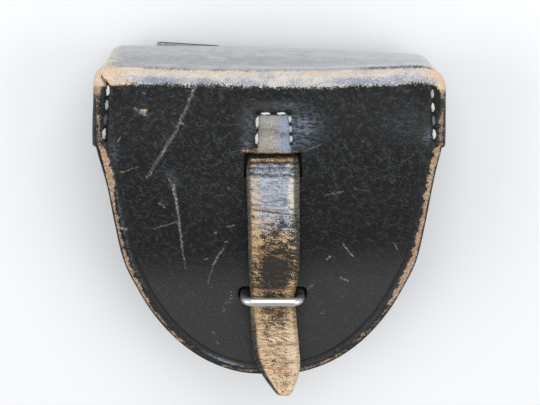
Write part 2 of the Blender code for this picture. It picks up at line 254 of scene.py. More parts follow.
def flare(x, y):
    """How far the left side stands out round the low end of its ear."""
    height = rise(y, 0.014, EAR_END) * (1 - rise(y, EAR_END, LID_TOP))
    return FLARE * height * np.maximum(0.0, -x / HALF_WIDTH)


edge_curve = smooth_rows(HIDE_EDGE, 4)
whole_edge = edge_curve + [point * (-1, 1) for point in reversed(edge_curve[:-1])]
edge_run = np.gradient(np.array(whole_edge), axis=0)
edge_inward = np.column_stack([edge_run[:, 1], -edge_run[:, 0]]) / np.linalg.norm(edge_run, axis=1)[:, None]
shoulder_index = 4 * HIDE_EDGE.index(EDGE_SHOULDER)
edge_pairs = list(zip(edge_curve, edge_inward))
side_line = edge_pairs[: shoulder_index + 1]
low_line = edge_pairs[shoulder_index:][::-1]


def rim_place(x, y):
    """Where a point of the pressed block's grid goes in the cut hide, below the ears."""
    side = -1.0 if x < 0 else 1.0
    inner_x = RIM_X - BORDER
    inner_y = FLAP_LOW + BORDER
    down = (EAR_END - y) / (EAR_END - inner_y)
    over = abs(x) / inner_x

    def on_side(share, depth):
        place, inward = along(side_line, share)
        level = np.array([-1.0, 0.0])
        turned = level + (inward - level) * float(rise(share, 0.0, 0.12))
        return place + turned / np.linalg.norm(turned) * depth

    def on_low(share, depth):
        place, inward = along(low_line, share)
        return place + inward * depth

    if y < inner_y - 1e-7:
        place = on_low(over, y - FLAP_LOW)
    elif abs(x) > inner_x + 1e-7:
        place = on_side(down, RIM_X - abs(x))
    else:
        left, right = on_side(down, BORDER) * (-1, 1), on_side(down, BORDER)
        low, high = on_low(over, BORDER), np.array([inner_x * over, EAR_END])
        low_corner, high_corner = on_low(1.0, BORDER), np.array([inner_x, EAR_END])
        share = (over + 1) / 2
        corners = (1 - down) * ((1 - share) * high_corner * (-1, 1) + share * high_corner)
        corners = corners + down * ((1 - share) * low_corner * (-1, 1) + share * low_corner)
        place = (1 - down) * high + down * low + (1 - share) * left + share * right - corners
    return place[0] * side, place[1]


# The block that the wet hide was pressed over, open at its low end, cut into a fine grid
middle = (0.0, (LID_TOP + FLAP_LOW) / 2, (FRONT + BACK) / 2)
cover = add_box("leather_cover", middle, (2 * HALF_WIDTH, LID_TOP - FLAP_LOW, DEPTH))
bpy.ops.object.mode_set(mode="EDIT")
pick(cover, "faces", lambda face: face.calc_center_median().y < FLAP_LOW + 0.001)
bpy.ops.mesh.delete(type="FACE")
bpy.ops.object.mode_set(mode="OBJECT")
fold_weight = cover.data.attributes.new("bevel_weight_edge", "FLOAT", "EDGE")
for edge in cover.data.edges:
    ends = [cover.data.vertices[index].co for index in edge.vertices]
    on_top = min(end.y for end in ends) > 0
    upright = abs(ends[0].y - ends[1].y) > 0.05
    fold_weight.data[edge.index].value = 1.0 if on_top else CORNER_ROLL / TOP_ROLL if upright else 0.0
apply_modifier(
    cover, "BEVEL", limit_method="WEIGHT", width=TOP_ROLL, segments=ROLL_STEPS, use_clamp_overlap=False
)

bpy.ops.object.mode_set(mode="EDIT")
rim_columns = [RIM_X - step for step in RIM_STEPS]
rim_rows = [FLAP_LOW + step for step in RIM_STEPS[1:]]
wide = spread(-(RIM_X - BORDER), RIM_X - BORDER, 0.00122)
slice_at(0, sorted(rim_columns[4:] + [-place for place in rim_columns[4:]] + wide))
slice_at(2, spread(BACK + TOP_ROLL, FRONT - TOP_ROLL, 0.0014))
upper = spread(EAR_END, LID_TOP - TOP_ROLL, 0.0012)
slice_at(1, sorted(rim_rows + spread(FLAP_LOW + BORDER, EAR_END, 0.0013) + [EAR_END] + upper))


def cut_away(face):
    """Below the ears, the block's sides and its two square corners come away."""
    middle = face.calc_center_median()
    in_corner = abs(middle.x) > RIM_X - BORDER and middle.y < FLAP_LOW + BORDER
    return middle.y < EAR_END and (abs(middle.x) > RIM_X + 1e-5 or in_corner)


pick(cover, "faces", cut_away)
bpy.ops.mesh.delete(type="FACE")
bpy.ops.object.mode_set(mode="OBJECT")
places = points_of(cover)
for index, (x, y, z) in enumerate(places):
    if y < EAR_END - 1e-6:
        new_x, new_y = rim_place(x, y)
        depth = y - FLAP_LOW if y < FLAP_LOW + BORDER - 1e-7 else RIM_X - abs(x)
        in_front = z > (FRONT + BACK) / 2
        face, inside = (FRONT, -1.0) if in_front else (BACK, 1.0)
        rolled = abs(z - face)
        turned_down = EDGE_ROLL * max(0.0, 1 - depth / EDGE_ROLL_WIDE) ** 2
        share = float(rise(EAR_END - y, 0.0, 0.006))
        z = face + inside * (rolled * (1 - share) + turned_down * share)
        places[index] = (new_x, new_y, z)
put_points(cover, places)
alone(cover)
bpy.ops.object.mode_set(mode="EDIT")
bpy.ops.mesh.select_all(action="SELECT")
bpy.ops.mesh.remove_doubles(threshold=GRID_DOUBLED)
bpy.ops.object.mode_set(mode="OBJECT")


def cut_slot(piece, slot, corner):
    """Take out the faces inside a slot of the flap, draw its border straight and round its corners."""
    left, low, right, high = slot

    def inside(point, margin):
        level = point.z > (FRONT + BACK) / 2 and left - margin < point.x < right + margin
        return level and low - margin < point.y < high + margin

    alone(piece)
    bpy.ops.object.mode_set(mode="EDIT")
    pick(piece, "faces", lambda face: inside(face.calc_center_median(), 0.0))
    bpy.ops.mesh.delete(type="FACE")
    mesh = bmesh.from_edit_mesh(piece.data)
    for vert in mesh.verts:
        if vert.is_boundary and inside(vert.co, SLOT_MARGIN):
            gap_x = min((abs(vert.co.x - side), side) for side in (left, right))
            gap_y = min((abs(vert.co.y - side), side) for side in (low, high))
            if gap_x[0] < SLOT_SNAP:
                vert.co.x = gap_x[1]
            if gap_y[0] < SLOT_SNAP:
                vert.co.y = gap_y[1]
            off_x = corner - min(vert.co.x - left, right - vert.co.x)
            off_y = corner - min(vert.co.y - low, high - vert.co.y)
            if off_x > 0 and off_y > 0:
                shrink = min(1.0, corner / math.hypot(off_x, off_y))
                vert.co.x += (1 - shrink) * off_x * (1 if vert.co.x < (left + right) / 2 else -1)
                vert.co.y += (1 - shrink) * off_y * (1 if vert.co.y < (low + high) / 2 else -1)
    border = [vert for vert in mesh.verts if vert.is_boundary and inside(vert.co, SLOT_MARGIN)]
    bmesh.ops.remove_doubles(mesh, verts=border, dist=SLOT_DOUBLED)
    bmesh.update_edit_mesh(piece.data)
    bpy.ops.object.mode_set(mode="OBJECT")


cut_slot(cover, STRAP_SLOT, STRAP_SLOT_CORNER)
cut_slot(cover, STAPLE_SLOT, STAPLE_SLOT_CORNER)


def distance_to_run(places, start, end):
    """The distance of each place, in the flat, from a straight run."""
    run = end - start
    offset = places - start
    share = np.clip(offset @ run / (run @ run), 0.0, 1.0)
    return np.linalg.norm(offset - share[:, None] * run, axis=1)


def edge_distance(places):
    """The distance of each point from the flap's edge, seen from the front."""
    runs = zip(whole_edge, whole_edge[1:])
    return np.min([distance_to_run(places[:, :2], start, end) for start, end in runs], axis=0)


# Pressed forms: the bulge of the flap, the swelling over the strap's end, the sunken lid, the
# rolled welt outside the crease, the sewn corners and the narrowing of the back
places = points_of(cover)
x, y, z = places.T.copy()
# The run over the fold, in millimetres: 0 where the flap ends and 9.7 where the lid begins
above, before = y - LID_TOP + TOP_ROLL, z - FRONT + TOP_ROLL
roll_turn = np.arctan2(np.maximum(above, 0.0), np.maximum(before, 0.0) + 1e-9)
over_fold = TOP_ROLL * roll_turn - np.maximum(-above, 0.0) + np.maximum(-before, 0.0)
store_values(cover, "fold", over_fold * 1000)
front_share = (z - BACK) / DEPTH
on_front = rise(front_share, 0.8, 1.0)
rim = edge_distance(places)
z += crown(x, y) * np.maximum(0.0, 2 * front_share - 1) + flap_relief(x, y, rim) * on_front
upper = rise(y, LID_TOP - 0.040, LID_TOP)
# The lid's rear edge hangs lower towards the right, and the worn right corner has sunk a little
rear = 0.0003 + 0.0006 * rise(x, -0.018, 0.0) + 0.0037 * np.maximum(0.0, x / HALF_WIDTH) ** 1.3
rear *= 1 - front_share
rear += 0.0016 * rise(x, 0.0540, HALF_WIDTH) * rise(front_share, 0.3, 0.8)
dip = LID_DIP * np.maximum(0.0, 1 - (x / (0.8 * HALF_WIDTH)) ** 2) * front_share
dish = LID_DISH * front_share * (1 - front_share) * np.maximum(0.0, 1 - (x / HALF_WIDTH) ** 2)
behind = 1 - rise(front_share, 0.5, 0.92)
narrowing = BACK_NARROWING * behind + TOP_NARROWING * rise(y, EAR_END, LID_TOP)
new_y = y - upper * (rear + dip) - rise(y, LID_TOP - TOP_ROLL, LID_TOP) * dish
new_x = x * (1 - narrowing / HALF_WIDTH)
new_x -= flare(new_x, y)
put_points(cover, np.column_stack([new_x, new_y, z]))

for slot_name in ("grain", "flesh", "cut_edge"):
    cover.data.materials.append(bpy.data.materials.new(slot_name))
apply_modifier(
    cover, "SOLIDIFY", thickness=HIDE, offset=-1.0, use_even_offset=True,
    material_offset=1, material_offset_rim=2,
)


def round_cut_edges(piece, width):
    """Round both corners of a hide's cut edge, which the third material slot marks."""
    mesh = bmesh.new()
    mesh.from_mesh(piece.data)
    layers = mesh.edges.layers.float
    weight = layers.get("bevel_weight_edge") or layers.new("bevel_weight_edge")
    for edge in mesh.edges:
        cut = [face.material_index == 2 for face in edge.link_faces]
        square = all(cut) and edge.calc_face_angle(0.0) > math.radians(50)
        edge[weight] = 1.0 if square or (any(cut) and not all(cut)) else 0.0
    mesh.to_mesh(piece.data)
    mesh.free()
    apply_modifier(piece, "BEVEL", limit_method="WEIGHT", width=width, segments=3, use_clamp_overlap=False)


round_cut_edges(cover, CUT_ROUND)


class Recipe:
    """A node tree drawn up step by step: each step adds a node and gives back what comes out."""

    def __init__(self, tree):
        self.tree = tree

    def node(self, kind, inputs, **settings):
        """Add a node with its settings, and put values or other nodes' outputs into it."""
        node = self.tree.nodes.new("ShaderNode" + kind)
        for name, setting in settings.items():
            setattr(node, name, setting)
        for name, source in inputs.items():
            if isinstance(source, bpy.types.NodeSocket):
                self.tree.links.new(source, node.inputs[name])
            else:
                node.inputs[name].default_value = source
        return node

    def maths(self, operation, *numbers):
        return self.node("Math", dict(enumerate(numbers)), operation=operation).outputs[0]

    def times(self, number, factor, plus=None):
        """A number times a factor, with more added where it is given."""
        if plus is None:
            return self.maths("MULTIPLY", number, factor)
        return self.maths("MULTIPLY_ADD", number, factor, plus)

    def less(self, number, taken):
        return self.maths("SUBTRACT", number, taken)

    def larger(self, number, other):
        return self.maths("MAXIMUM", number, other)

    def absolute(self, number):
        return self.maths("ABSOLUTE", number)

    def vector(self, operation, *vectors):
        return self.node("VectorMath", dict(enumerate(vectors)), operation=operation).outputs[0]

    def number(self, operation, *vectors):
        return self.node("VectorMath", dict(enumerate(vectors)), operation=operation).outputs["Value"]

    def step(self, number, low, high):
        """0 below low and 1 above high, with a smooth rise between."""
        inputs = {"Value": number, "From Min": low, "From Max": high}
        return self.node("MapRange", inputs, interpolation_type="SMOOTHSTEP").outputs["Result"]

    def fall(self, number, low, high):
        """1 below low and 0 above high."""
        inputs = {"Value": number, "From Min": low, "From Max": high, "To Min": 1.0, "To Max": 0.0}
        return self.node("MapRange", inputs, interpolation_type="SMOOTHSTEP").outputs["Result"]

    def mix(self, share, under, over):
        """One colour laid over another by a share."""
        under, over = [(*colour, 1.0) if isinstance(colour, tuple) else colour for colour in (under, over)]
        return self.node("Mix", {0: share, 6: under, 7: over}, data_type="RGBA").outputs[2]

    def noise(self, place, scale, detail=2.0):
        return self.node("TexNoise", {"Vector": place, "Scale": scale, "Detail": detail}).outputs["Fac"]

    def stretched(self, place, x, y=1.0, z=1.0):
        """A place with its sides scaled, so that a pattern there is drawn out."""
        return self.vector("MULTIPLY", place, (x, y, z))

    def turned(self, place, angle):
        """A place turned about Z."""
        inputs = {"Vector": place, "Angle": angle}
        return self.node("VectorRotate", inputs, rotation_type="Z_AXIS").outputs["Vector"]

    def crooked(self, place, scale, detail, reach):
        """A place moved a little to and fro, so that what is drawn there runs crooked."""
        wander = self.node("TexNoise", {"Vector": place, "Scale": scale, "Detail": detail}).outputs["Color"]
        return self.vector("MULTIPLY_ADD", self.vector("SUBTRACT", wander, (0.5, 0.5, 0.5)), reach, place)

    def kept(self, title):
        """The number that the piece's points keep under a title."""
        return self.node("Attribute", {}, attribute_name=title).outputs["Fac"]

    def use(self, effect_name, inputs):
        """Place one of the effects and give back its outputs."""
        return self.node("Group", inputs, node_tree=bpy.data.node_groups[effect_name]).outputs

    def rubbed(self, place, wear, coarse, patchy, fine, blur):
        """Where so much wear has rubbed through, in patches and specks of these scales."""
        scales = {"Coarse": coarse, "Patchy": patchy, "Fine": fine, "Blur": blur}
        return self.use("rubbed_through", {"Place": place, "Wear": wear, **scales})["Mask"]

    def finish(self, **results):
        """Put the results into the Principled shader; Height goes through a Bump node."""
        shader = self.tree.nodes["Principled BSDF"]
        height = results.pop("Height", None)
        if height is not None:
            bump = self.node("Bump", {"Height": height[0], "Distance": height[1], "Strength": 1.0})
            self.tree.links.new(bump.outputs["Normal"], shader.inputs["Normal"])
        for name, result in results.items():
            socket = shader.inputs[name.replace("_", " ")]
            if isinstance(result, bpy.types.NodeSocket):
                self.tree.links.new(result, socket)
            else:
                socket.default_value = result


def new_effect(name, coming_in, going_out):
    """A shader node group with named inputs and outputs: its recipe, its entry and its end."""
    group = bpy.data.node_groups.new(name, "ShaderNodeTree")
    for title, kind in coming_in.items():
        group.interface.new_socket(title, in_out="INPUT", socket_type="NodeSocket" + kind)
    for title, kind in going_out.items():
        group.interface.new_socket(title, in_out="OUTPUT", socket_type="NodeSocket" + kind)
    entry = group.nodes.new("NodeGroupInput")
    end = group.nodes.new("NodeGroupOutput")
    return Recipe(group), entry.outputs, end.inputs


def new_finish(name):
    """The recipe of a material, new or already on a piece, and where a point lies on its piece."""
    material = bpy.data.materials.get(name) or bpy.data.materials.new(name)
    material.use_nodes = True
    recipe = Recipe(material.node_tree)
    return recipe, recipe.node("TexCoord", {}).outputs["Object"]


# Old leather shows hairs of creases that cross at all angles, broken, and some drawn out sideways
grain, entry, end = new_effect(
    "leather_grain", {"Place": "Vector", "Size": "Float"}, {"Creases": "Float", "Relief": "Float"}
)
wavy = grain.crooked(entry["Place"], 330.0, 2.0, (0.0009, 0.0009, 0.0009))
creases = 0.0
for turn, draw, low, high in ((1.00, 0.16, 0.47, 0.60), (-0.75, 0.18, 0.49, 0.62), (0.10, 0.14, 0.47, 0.61)):
    turned = grain.turned(wavy, turn)
    level = grain.noise(grain.stretched(turned, draw), entry["Size"], 1.0)
    hair = grain.fall(grain.absolute(grain.less(level, 0.5)), 0.008, 0.046)
    drawn = grain.stretched(turned, 0.45)
    hair = grain.times(hair, grain.step(grain.noise(drawn, 800.0, 3.0), low, high))
    creases = grain.larger(creases, hair) if creases else hair
pebbles = grain.noise(entry["Place"], 1500.0, 2.0)
grain.tree.links.new(creases, end["Creases"])
grain.tree.links.new(grain.less(pebbles, grain.times(creases, 0.5)), end["Relief"])

# Rubbed places: the more wear, the more of the surface is through, in ragged patches and specks
rubbed, entry, end = new_effect(
    "rubbed_through",
    {"Place": "Vector", **dict.fromkeys(("Wear", "Coarse", "Patchy", "Fine", "Blur"), "Float")},
    {"Mask": "Float"},
)
patches = rubbed.less(rubbed.noise(entry["Place"], entry["Coarse"], 3.0), 0.5)
specks = rubbed.less(rubbed.noise(entry["Place"], entry["Fine"], 2.0), 0.5)
level = rubbed.times(patches, entry["Patchy"], rubbed.times(specks, 1.3, entry["Wear"]))
low = rubbed.less(0.5, entry["Blur"])
high = rubbed.maths("ADD", 0.5, entry["Blur"])
rubbed.tree.links.new(rubbed.step(level, low, high), end["Mask"])


def beside_line(recipe, place, entry):
    """An effect's line from From to To, the share of it that is next to a place, and the gap to it."""
    run = recipe.vector("SUBTRACT", entry["To"], entry["From"])
    offset = recipe.vector("MULTIPLY", recipe.vector("SUBTRACT", place, entry["From"]), (1.0, 1.0, 0.0))
    dots = {0: recipe.number("DOT_PRODUCT", offset, run), 1: recipe.number("DOT_PRODUCT", run, run)}
    share = recipe.node("Math", dots, operation="DIVIDE", use_clamp=True).outputs[0]
    nearest = recipe.node("VectorMath", {0: run, 3: share}, operation="SCALE").outputs[0]
    return run, share, recipe.number("LENGTH", recipe.vector("SUBTRACT", offset, nearest))


# A scratch runs from place to place on the flap, a little crooked and broken
scratch, entry, end = new_effect(
    "scratch", {"Place": "Vector", "From": "Vector", "To": "Vector", "Width": "Float"}, {"Mark": "Float"}
)
gap = beside_line(scratch, scratch.crooked(entry["Place"], 500.0, 1.0, (0.0009, 0.0009, 0.0)), entry)[2]
mark = scratch.fall(gap, scratch.times(entry["Width"], 0.3), scratch.times(entry["Width"], 1.5))
whole = scratch.step(scratch.noise(entry["Place"], 2000.0), 0.36, 0.58)
scratch.tree.links.new(scratch.times(mark, whole), end["Mark"])

# A sewn line: the leather sinks along it, and the holes lie at even distances
seam, entry, end = new_effect(
    "sewn_line",
    {"Place": "Vector", "From": "Vector", "To": "Vector", "Count": "Float"},
    {"Groove": "Float", "Holes": "Float"},
)
run, share, gap = beside_line(seam, entry["Place"], entry)
turns = seam.times(share, entry["Count"])
off_hole = seam.less(turns, seam.maths("ROUND", turns))
from_hole = seam.times(off_hole, seam.maths("DIVIDE", seam.number("LENGTH", run), entry["Count"]))
squares = [seam.maths("POWER", side, 2.0) for side in (gap, from_hole)]
radius = seam.maths("SQRT", seam.maths("ADD", *squares))
seam.tree.links.new(seam.fall(gap, 0.0003, 0.0011), end["Groove"])
seam.tree.links.new(seam.fall(radius, 0.00035, 0.00075), end["Holes"])


def dab(x, y, strokes):
    """Soft strokes of a rubbing pad, each with its x, y, half width, half height and strength."""
    total = np.zeros(len(x))
    for middle_x, middle_y, wide, high, strength in strokes:
        total += strength * np.exp(-((x - middle_x) / wide) ** 2 - ((y - middle_y) / high) ** 2)
    return total


def along_edge(y, levels):
    """A level read off between places along one side of the flap's edge, from low to high y."""
    return np.interp(y, *zip(*levels))


# Where the dye is rubbed through ("wear"), where a grey bloom lies in specks with a painted bluish sheen
# on the fold ("film"), where handling has polished the hide, with a painted sheen and highlight ("polish"),
# and where a painted reflection makes the black paler ("haze"); in millimetres
LEFT_EDGE_WEAR = (
    (-57.8, 0.10), (-55.0, 0.20), (-50.0, 0.05), (-45.0, 0.45), (-40.0, 0.20), (-34.0, 0.50),
    (-29.0, 0.76), (-15.0, 0.80), (-5.0, 0.64), (5.0, 0.70), (13.0, 0.84), (20.0, 1.0), (27.0, 1.0),
    (34.0, 0.85), (44.0, 0.86), (52.0, 0.66), (58.0, 0.85),
)
RIGHT_EDGE_WEAR = (
    (-57.8, 0.45), (-52.0, 0.50), (-46.0, 0.30), (-40.0, 0.50), (-33.0, 0.32), (-26.0, 0.74),
    (-15.0, 0.88), (0.0, 0.80), (14.0, 0.78), (24.0, 0.84), (34.0, 0.90), (44.0, 0.95), (50.0, 0.80),
    (54.0, 0.95), (64.0, 0.95),
)
FLAP_WEAR = (
    (-44.8, 47.8, 1.4, 1.3, 1.15), (-14.8, -24.0, 3.6, 4.2, 0.36), (-17.5, -29.5, 3.0, 2.6, 0.22),
    (19.5, -28.5, 4.2, 5.0, 0.24), (1.2, 34.0, 11.0, 0.9, 0.60), (-8.8, 33.6, 2.2, 1.2, 0.3),
    (-61.5, 58.0, 3.0, 4.5, 0.55), (-57.0, 59.5, 5.5, 1.9, 0.80), (-51.0, 58.6, 4.0, 1.6, 0.55),
    (61.8, 58.5, 3.0, 3.2, 0.8), (14.5, -22.0, 1.6, 1.6, 0.18), (-37.0, -39.8, 1.6, 1.6, 0.50),
    (-34.8, -42.8, 1.6, 1.4, 0.50), (-17.0, -53.9, 3.0, 0.7, 0.42), (-8.5, -55.5, 4.5, 0.7, 0.45),
)
# Polished patches on the flap, with a painted sheen on them: x, y, half width, half height and strength
FLAP_POLISH_SHEEN = (
    (11.0, 41.5, 3.6, 6.0, 0.26), (14.0, 43.0, 6.0, 6.0, 0.10), (-7.6, 44.0, 2.2, 5.0, 0.14),
    (-8.6, 36.0, 2.0, 2.2, 0.20), (56.6, 38.5, 1.5, 2.4, 0.26), (-56.4, 33.0, 1.6, 6.0, 0.12),
    (-36.5, 24.5, 1.6, 1.6, 0.10), (5.0, 50.0, 5.0, 1.5, 0.08), (-34.5, 22.0, 2.0, 2.0, 0.10),
    (48.0, 43.0, 6.0, 6.0, 0.05),
)
# Patches of painted sheen on the flap: x, y, half width, half height and strength
FLAP_HAZE_SHEEN = (
    (-36.0, 45.0, 22.0, 10.0, 0.10), (36.0, 46.0, 22.0, 9.0, 0.14), (-9.5, 44.0, 3.0, 6.0, 0.35),
    (56.0, 40.0, 4.0, 5.0, 0.4), (-20.0, 18.0, 10.0, 8.0, 0.10),
)
LID_WEAR = (
    (-60.0, 26.0, 7.0, 11.0, 0.42), (-40.0, 30.0, 9.0, 1.6, 0.26), (60.0, 34.0, 5.0, 6.0, 0.42),
    (-18.0, 30.5, 3.0, 1.8, 0.40), (-30.0, 40.5, 18.0, 0.8, 0.20), (-46.0, 22.0, 12.0, 5.0, 0.22),
    (-28.0, 18.0, 10.0, 3.0, 0.18), (52.0, 38.5, 7.0, 1.4, 0.40), (-8.0, 16.0, 1.6, 2.2, 0.36),
    (-5.0, 21.5, 1.6, 2.2, 0.34),
)
CORNER_WEAR = ((-60.5, 60.5, 7.5, 5.0, 0.80), (61.0, 61.0, 5.5, 4.0, 0.62))
# A painted highlight on the welt at the lower left
LOW_PAINTED_HIGHLIGHT = ((-18.5, -52.6, 8.5, 4.5, 0.90),)
places = points_of(cover)
x, y, z = places.T * 1000
fold = values_of(cover, "fold").astype(float)
face = rise(z, 38.0, 44.0) * (1 - rise(fold, -1.0, 1.5))
rim = edge_distance(places) * 1000
edge_wear = np.where(x < 0, along_edge(y, LEFT_EDGE_WEAR), along_edge(y, RIGHT_EDGE_WEAR))
# The strip along the edge is rubbed wider and narrower
outer_limit = np.where(x < 0, 2.2 + 1.0 * bell(y - 24.0, 8.0), 2.8)
uneven = np.sin(0.80 * y + 2.8 * np.sin(0.33 * y + 0.03 * x))
outer_limit += 0.42 * uneven + 0.20 * np.sin(2.3 * y + 2.0 * uneven)
edge_wear = edge_wear * (0.90 + 0.14 * np.sin(1.1 * y + 3.0 * np.sin(0.31 * y)))
strip_wear = 1.1 * edge_wear * rise(rim, 0.3, 1.0) * (1 - rise(rim, outer_limit - 0.6, outer_limit + 0.4))
strip_wear *= face * (1 - rise(y, 33.0, 36.0))
ear_strip = rise(y, 33.0, 36.0) * (1 - rise(y, 59.0, 62.0))
on_ear = 0.66 * edge_wear * bell(np.abs(x) - 61.4, 1.35) * ear_strip * rise(z, 40.0, 45.0)
# The fold wears along its whole roll, but not on the ears beside it
beside_bend = np.minimum((LID_TOP - TOP_ROLL) * 1000 - y, (FRONT - TOP_ROLL) * 1000 - z)
on_bend = 1 - rise(beside_bend, 0.5, 5.0)
on_roll = rise(fold, -1.6, 0.6) * (1 - rise(fold, 5.7, 6.4)) * on_bend
roll_wear = 0.40 * bell(fold - 5.0, 0.9) + 0.20 + 0.10 * bell(x + 25.0, 30.0) + 0.10 * bell(x - 20.0, 14.0)
corner_wear = np.minimum(1.0, dab(x, y, CORNER_WEAR)) * rise(z, 30.0, 38.0) * rise(fold, -1.6, 0.6)
lid_wear = 0.06 * rise(z, 9.0, 12.0) + 0.30 * bell(z - 10.0, 2.0) * rise(y, 55.0, 60.0)
lid_wear = (lid_wear + dab(x, z, LID_WEAR)) * rise(fold, 6.0, 6.6) * rise(y, 50.0, 60.0)
wear = strip_wear + on_ear + dab(x, y, FLAP_WEAR) * face + roll_wear * on_roll + corner_wear + lid_wear
store_values(cover, "wear", np.clip(wear, 0.0, 1.1))
# The bloom and its painted sheen thin out behind the fold, and reach lower down the flap in the middle
back_line = bell(fold - 6.3, 0.30) * (0.34 * (1 - rise(x, -5.0, 20.0)) * rise(x, -50.0, -40.0) + 0.15)
back_line += 0.12 * bell(fold - 6.9, 0.5)
back_line += 0.46 * bell(fold - 7.4, 1.2) * rise(x, 26.0, 38.0) * (1 - rise(x, 56.0, 60.0))
fold_low = fold + 0.45 * bell(x - 18.0, 18.0) - 0.45 * bell(x + 22.0, 9.0) - 0.25
film_and_sheen = np.maximum(0.90 * rise(fold_low, -2.3, 2.0), 0.10 * rise(fold_low, -4.2, -2.0)) - back_line
film_and_sheen *= np.where(fold > 5.0, rise(y, 53.0, 60.0) * rise(z, 8.0, 13.0), 1.0) * on_bend
store_values(cover, "film_and_sheen", np.clip(film_and_sheen, 0.0, 1.0))
lid_only = rise(fold, 5.8, 6.6) * (1 - rise(np.abs(x), 61.5, 63.0) * (1 - rise(y, 56.0, 62.0)))
store_values(cover, "lid", lid_only * rise(z, 7.0, 11.0))
# The strap's sewn end rubs smooth through the flap, with a painted sheen over it, and a painted highlight
# lies along the welt, strongest at the lower left
sewn_box = (1 - rise(np.abs(x - 1.4), 5.0, 6.8)) * rise(y, 32.6, 34.4) * (1 - rise(y, 46.2, 47.8))
sewn_box *= 0.88 - 0.25 * bell(x + 3.4, 2.0) * bell(y - 41.0, 3.0)
painted_highlight = 0.20 * (x < 0) * rise(-y, -34.0, -20.0) * (1 - rise(-y, 14.0, 26.0)) + dab(x, y, LOW_PAINTED_HIGHLIGHT)
welt_painted_highlight = bell(rim - 3.3, 0.36) * painted_highlight + 0.07 * bell(rim - 3.3, 0.35) * (x > 0)
polish_and_sheen = (sewn_box + dab(x, y, FLAP_POLISH_SHEEN) + welt_painted_highlight) * face
store_values(cover, "polish_and_sheen", np.clip(polish_and_sheen, 0.0, 1.0))
# Where the bloom and the polish, with their painted sheen, are cool in tone
cool_patches = bell(x + 39.0, 6.0) + bell(x + 24.0, 5.0) + bell(x - 38.0, 12.0)
on_bend_cool = 0.25 + bell(fold - 1.5, 1.6) * (0.37 + 0.42 * cool_patches)
cool = np.where(fold > -3.0, on_bend_cool, np.maximum(rise(x, 0.0, 6.0), 0.8 * rise(-x, 5.5, 7.0)))
store_values(cover, "cool", cool)
# A painted reflection makes the flap's lower half paler; it is kept off the welt, and the crease stays
# blacker as painted shade
haze_and_reflection = 0.66 * rise(0.06 * x - y, 1.0, 23.0) + dab(x, y, FLAP_HAZE_SHEEN)
haze_and_reflection *= 0.45 + 0.55 * rise(rim, 4.6, 5.6) - 0.45 * bell(rim - 4.7, 0.4)
store_values(cover, "haze_and_reflection", np.clip(haze_and_reflection * face + 0.25 * (1 - rise(z, 8.0, 12.0)), 0.0, 1.0))

BLACK = (0.0072, 0.0072, 0.0072)
HOLE_SHADE_BLACK = (0.004, 0.004, 0.004)
HAIRLINE = (0.060, 0.066, 0.064)
HAZE_REFLECTION_GREY = (0.050, 0.050, 0.048)
DUST_DOT = (0.24, 0.21, 0.15)
BLOOM_SHEEN_BLUE = (0.242, 0.278, 0.355)
BLOOM_SHEEN_CREAM = (0.72, 0.66, 0.58)
LID_DULL = (0.13, 0.135, 0.14)
LID_PALE = (0.50, 0.51, 0.525)
LID_DUST = (0.62, 0.53, 0.42)
LID_WARM = (0.30, 0.265, 0.235)
POLISH_SHEEN_WARM = (0.47, 0.43, 0.37)
POLISH_SHEEN_COOL = (0.34, 0.405, 0.52)
TAN = (0.60, 0.43, 0.285)
TAN_PALE = (0.76, 0.60, 0.45)
TAN_DEEP = (0.30, 0.19, 0.105)
SCUFF = (0.17, 0.175, 0.165)
SCUFF_TAN = (0.46, 0.40, 0.29)
# Scratches and specks on the flap: from x, y to x, y and half width in millimetres, then strength
SCRATCHES = (
    (-26.5, 57.2, -28.6, 52.0, 0.55, 0.85), (-28.6, 52.0, -31.2, 45.5, 0.50, 0.55),
    (-31.2, 46.5, -33.4, 41.0, 0.50, 0.70), (-33.4, 41.0, -40.0, 30.5, 0.60, 0.75),
    (-40.0, 30.5, -44.5, 23.0, 0.55, 0.50), (-47.9, 48.6, -44.2, 46.6, 0.65, 0.95),
    (-44.9, 54.6, -44.3, 54.2, 0.35, 0.8), (-54.6, 36.4, -53.4, 38.4, 0.30, 0.8),
    (-31.4, 43.6, -31.2, 43.4, 0.40, 0.9), (-36.6, 23.0, -34.9, 20.0, 0.35, 0.70),
    (-35.0, 20.5, -33.6, 10.0, 0.55, 0.95), (-33.6, 10.0, -32.4, -3.8, 0.45, 0.75),
    (-32.4, -3.8, -31.4, -12.5, 0.35, 0.45), (-54.3, 24.7, -48.0, 27.1, 0.28, 0.60),
    (-42.6, 3.2, -34.0, 6.4, 0.30, 0.55), (-40.8, 13.6, -38.4, 11.8, 0.35, 0.55),
    (-21.0, -10.5, -17.2, -4.0, 0.45, 0.70), (-23.2, -18.3, -20.8, -10.5, 0.30, 0.40),
    (-15.6, 4.6, -13.0, 5.2, 0.30, 0.75), (-20.4, 1.9, -19.6, 2.3, 0.40, 1.0),
    (-16.6, -1.6, -15.6, -1.2, 0.25, 0.8), (-24.2, -8.6, -23.2, -8.6, 0.30, 0.85),
    (-15.2, 19.6, -14.9, 19.6, 0.30, 0.9), (26.9, -2.6, 31.0, -7.9, 0.32, 0.80),
    (20.4, 16.8, 26.5, 18.2, 0.35, 0.50), (30.4, 19.4, 36.4, 18.2, 0.30, 0.35),
    (26.3, -16.0, 29.0, -17.4, 0.40, 0.75), (21.2, -8.6, 22.2, -7.4, 0.35, 0.80),
    (14.4, -20.5, 15.8, -19.0, 0.50, 0.45), (45.8, -2.6, 47.2, -5.4, 0.25, 0.55),
    (33.2, 37.0, 33.5, 37.0, 0.25, 0.9), (12.2, 33.4, 18.5, 36.2, 0.25, 0.60),
    (-55.3, 3.2, -52.8, 2.9, 0.55, 1.0), (-21.5, -39.0, -20.8, -40.0, 0.25, 0.7),
    (-20.4, -43.2, -19.8, -44.0, 0.25, 0.7), (10.0, -42.0, 11.2, -43.4, 0.3, 0.5),
)
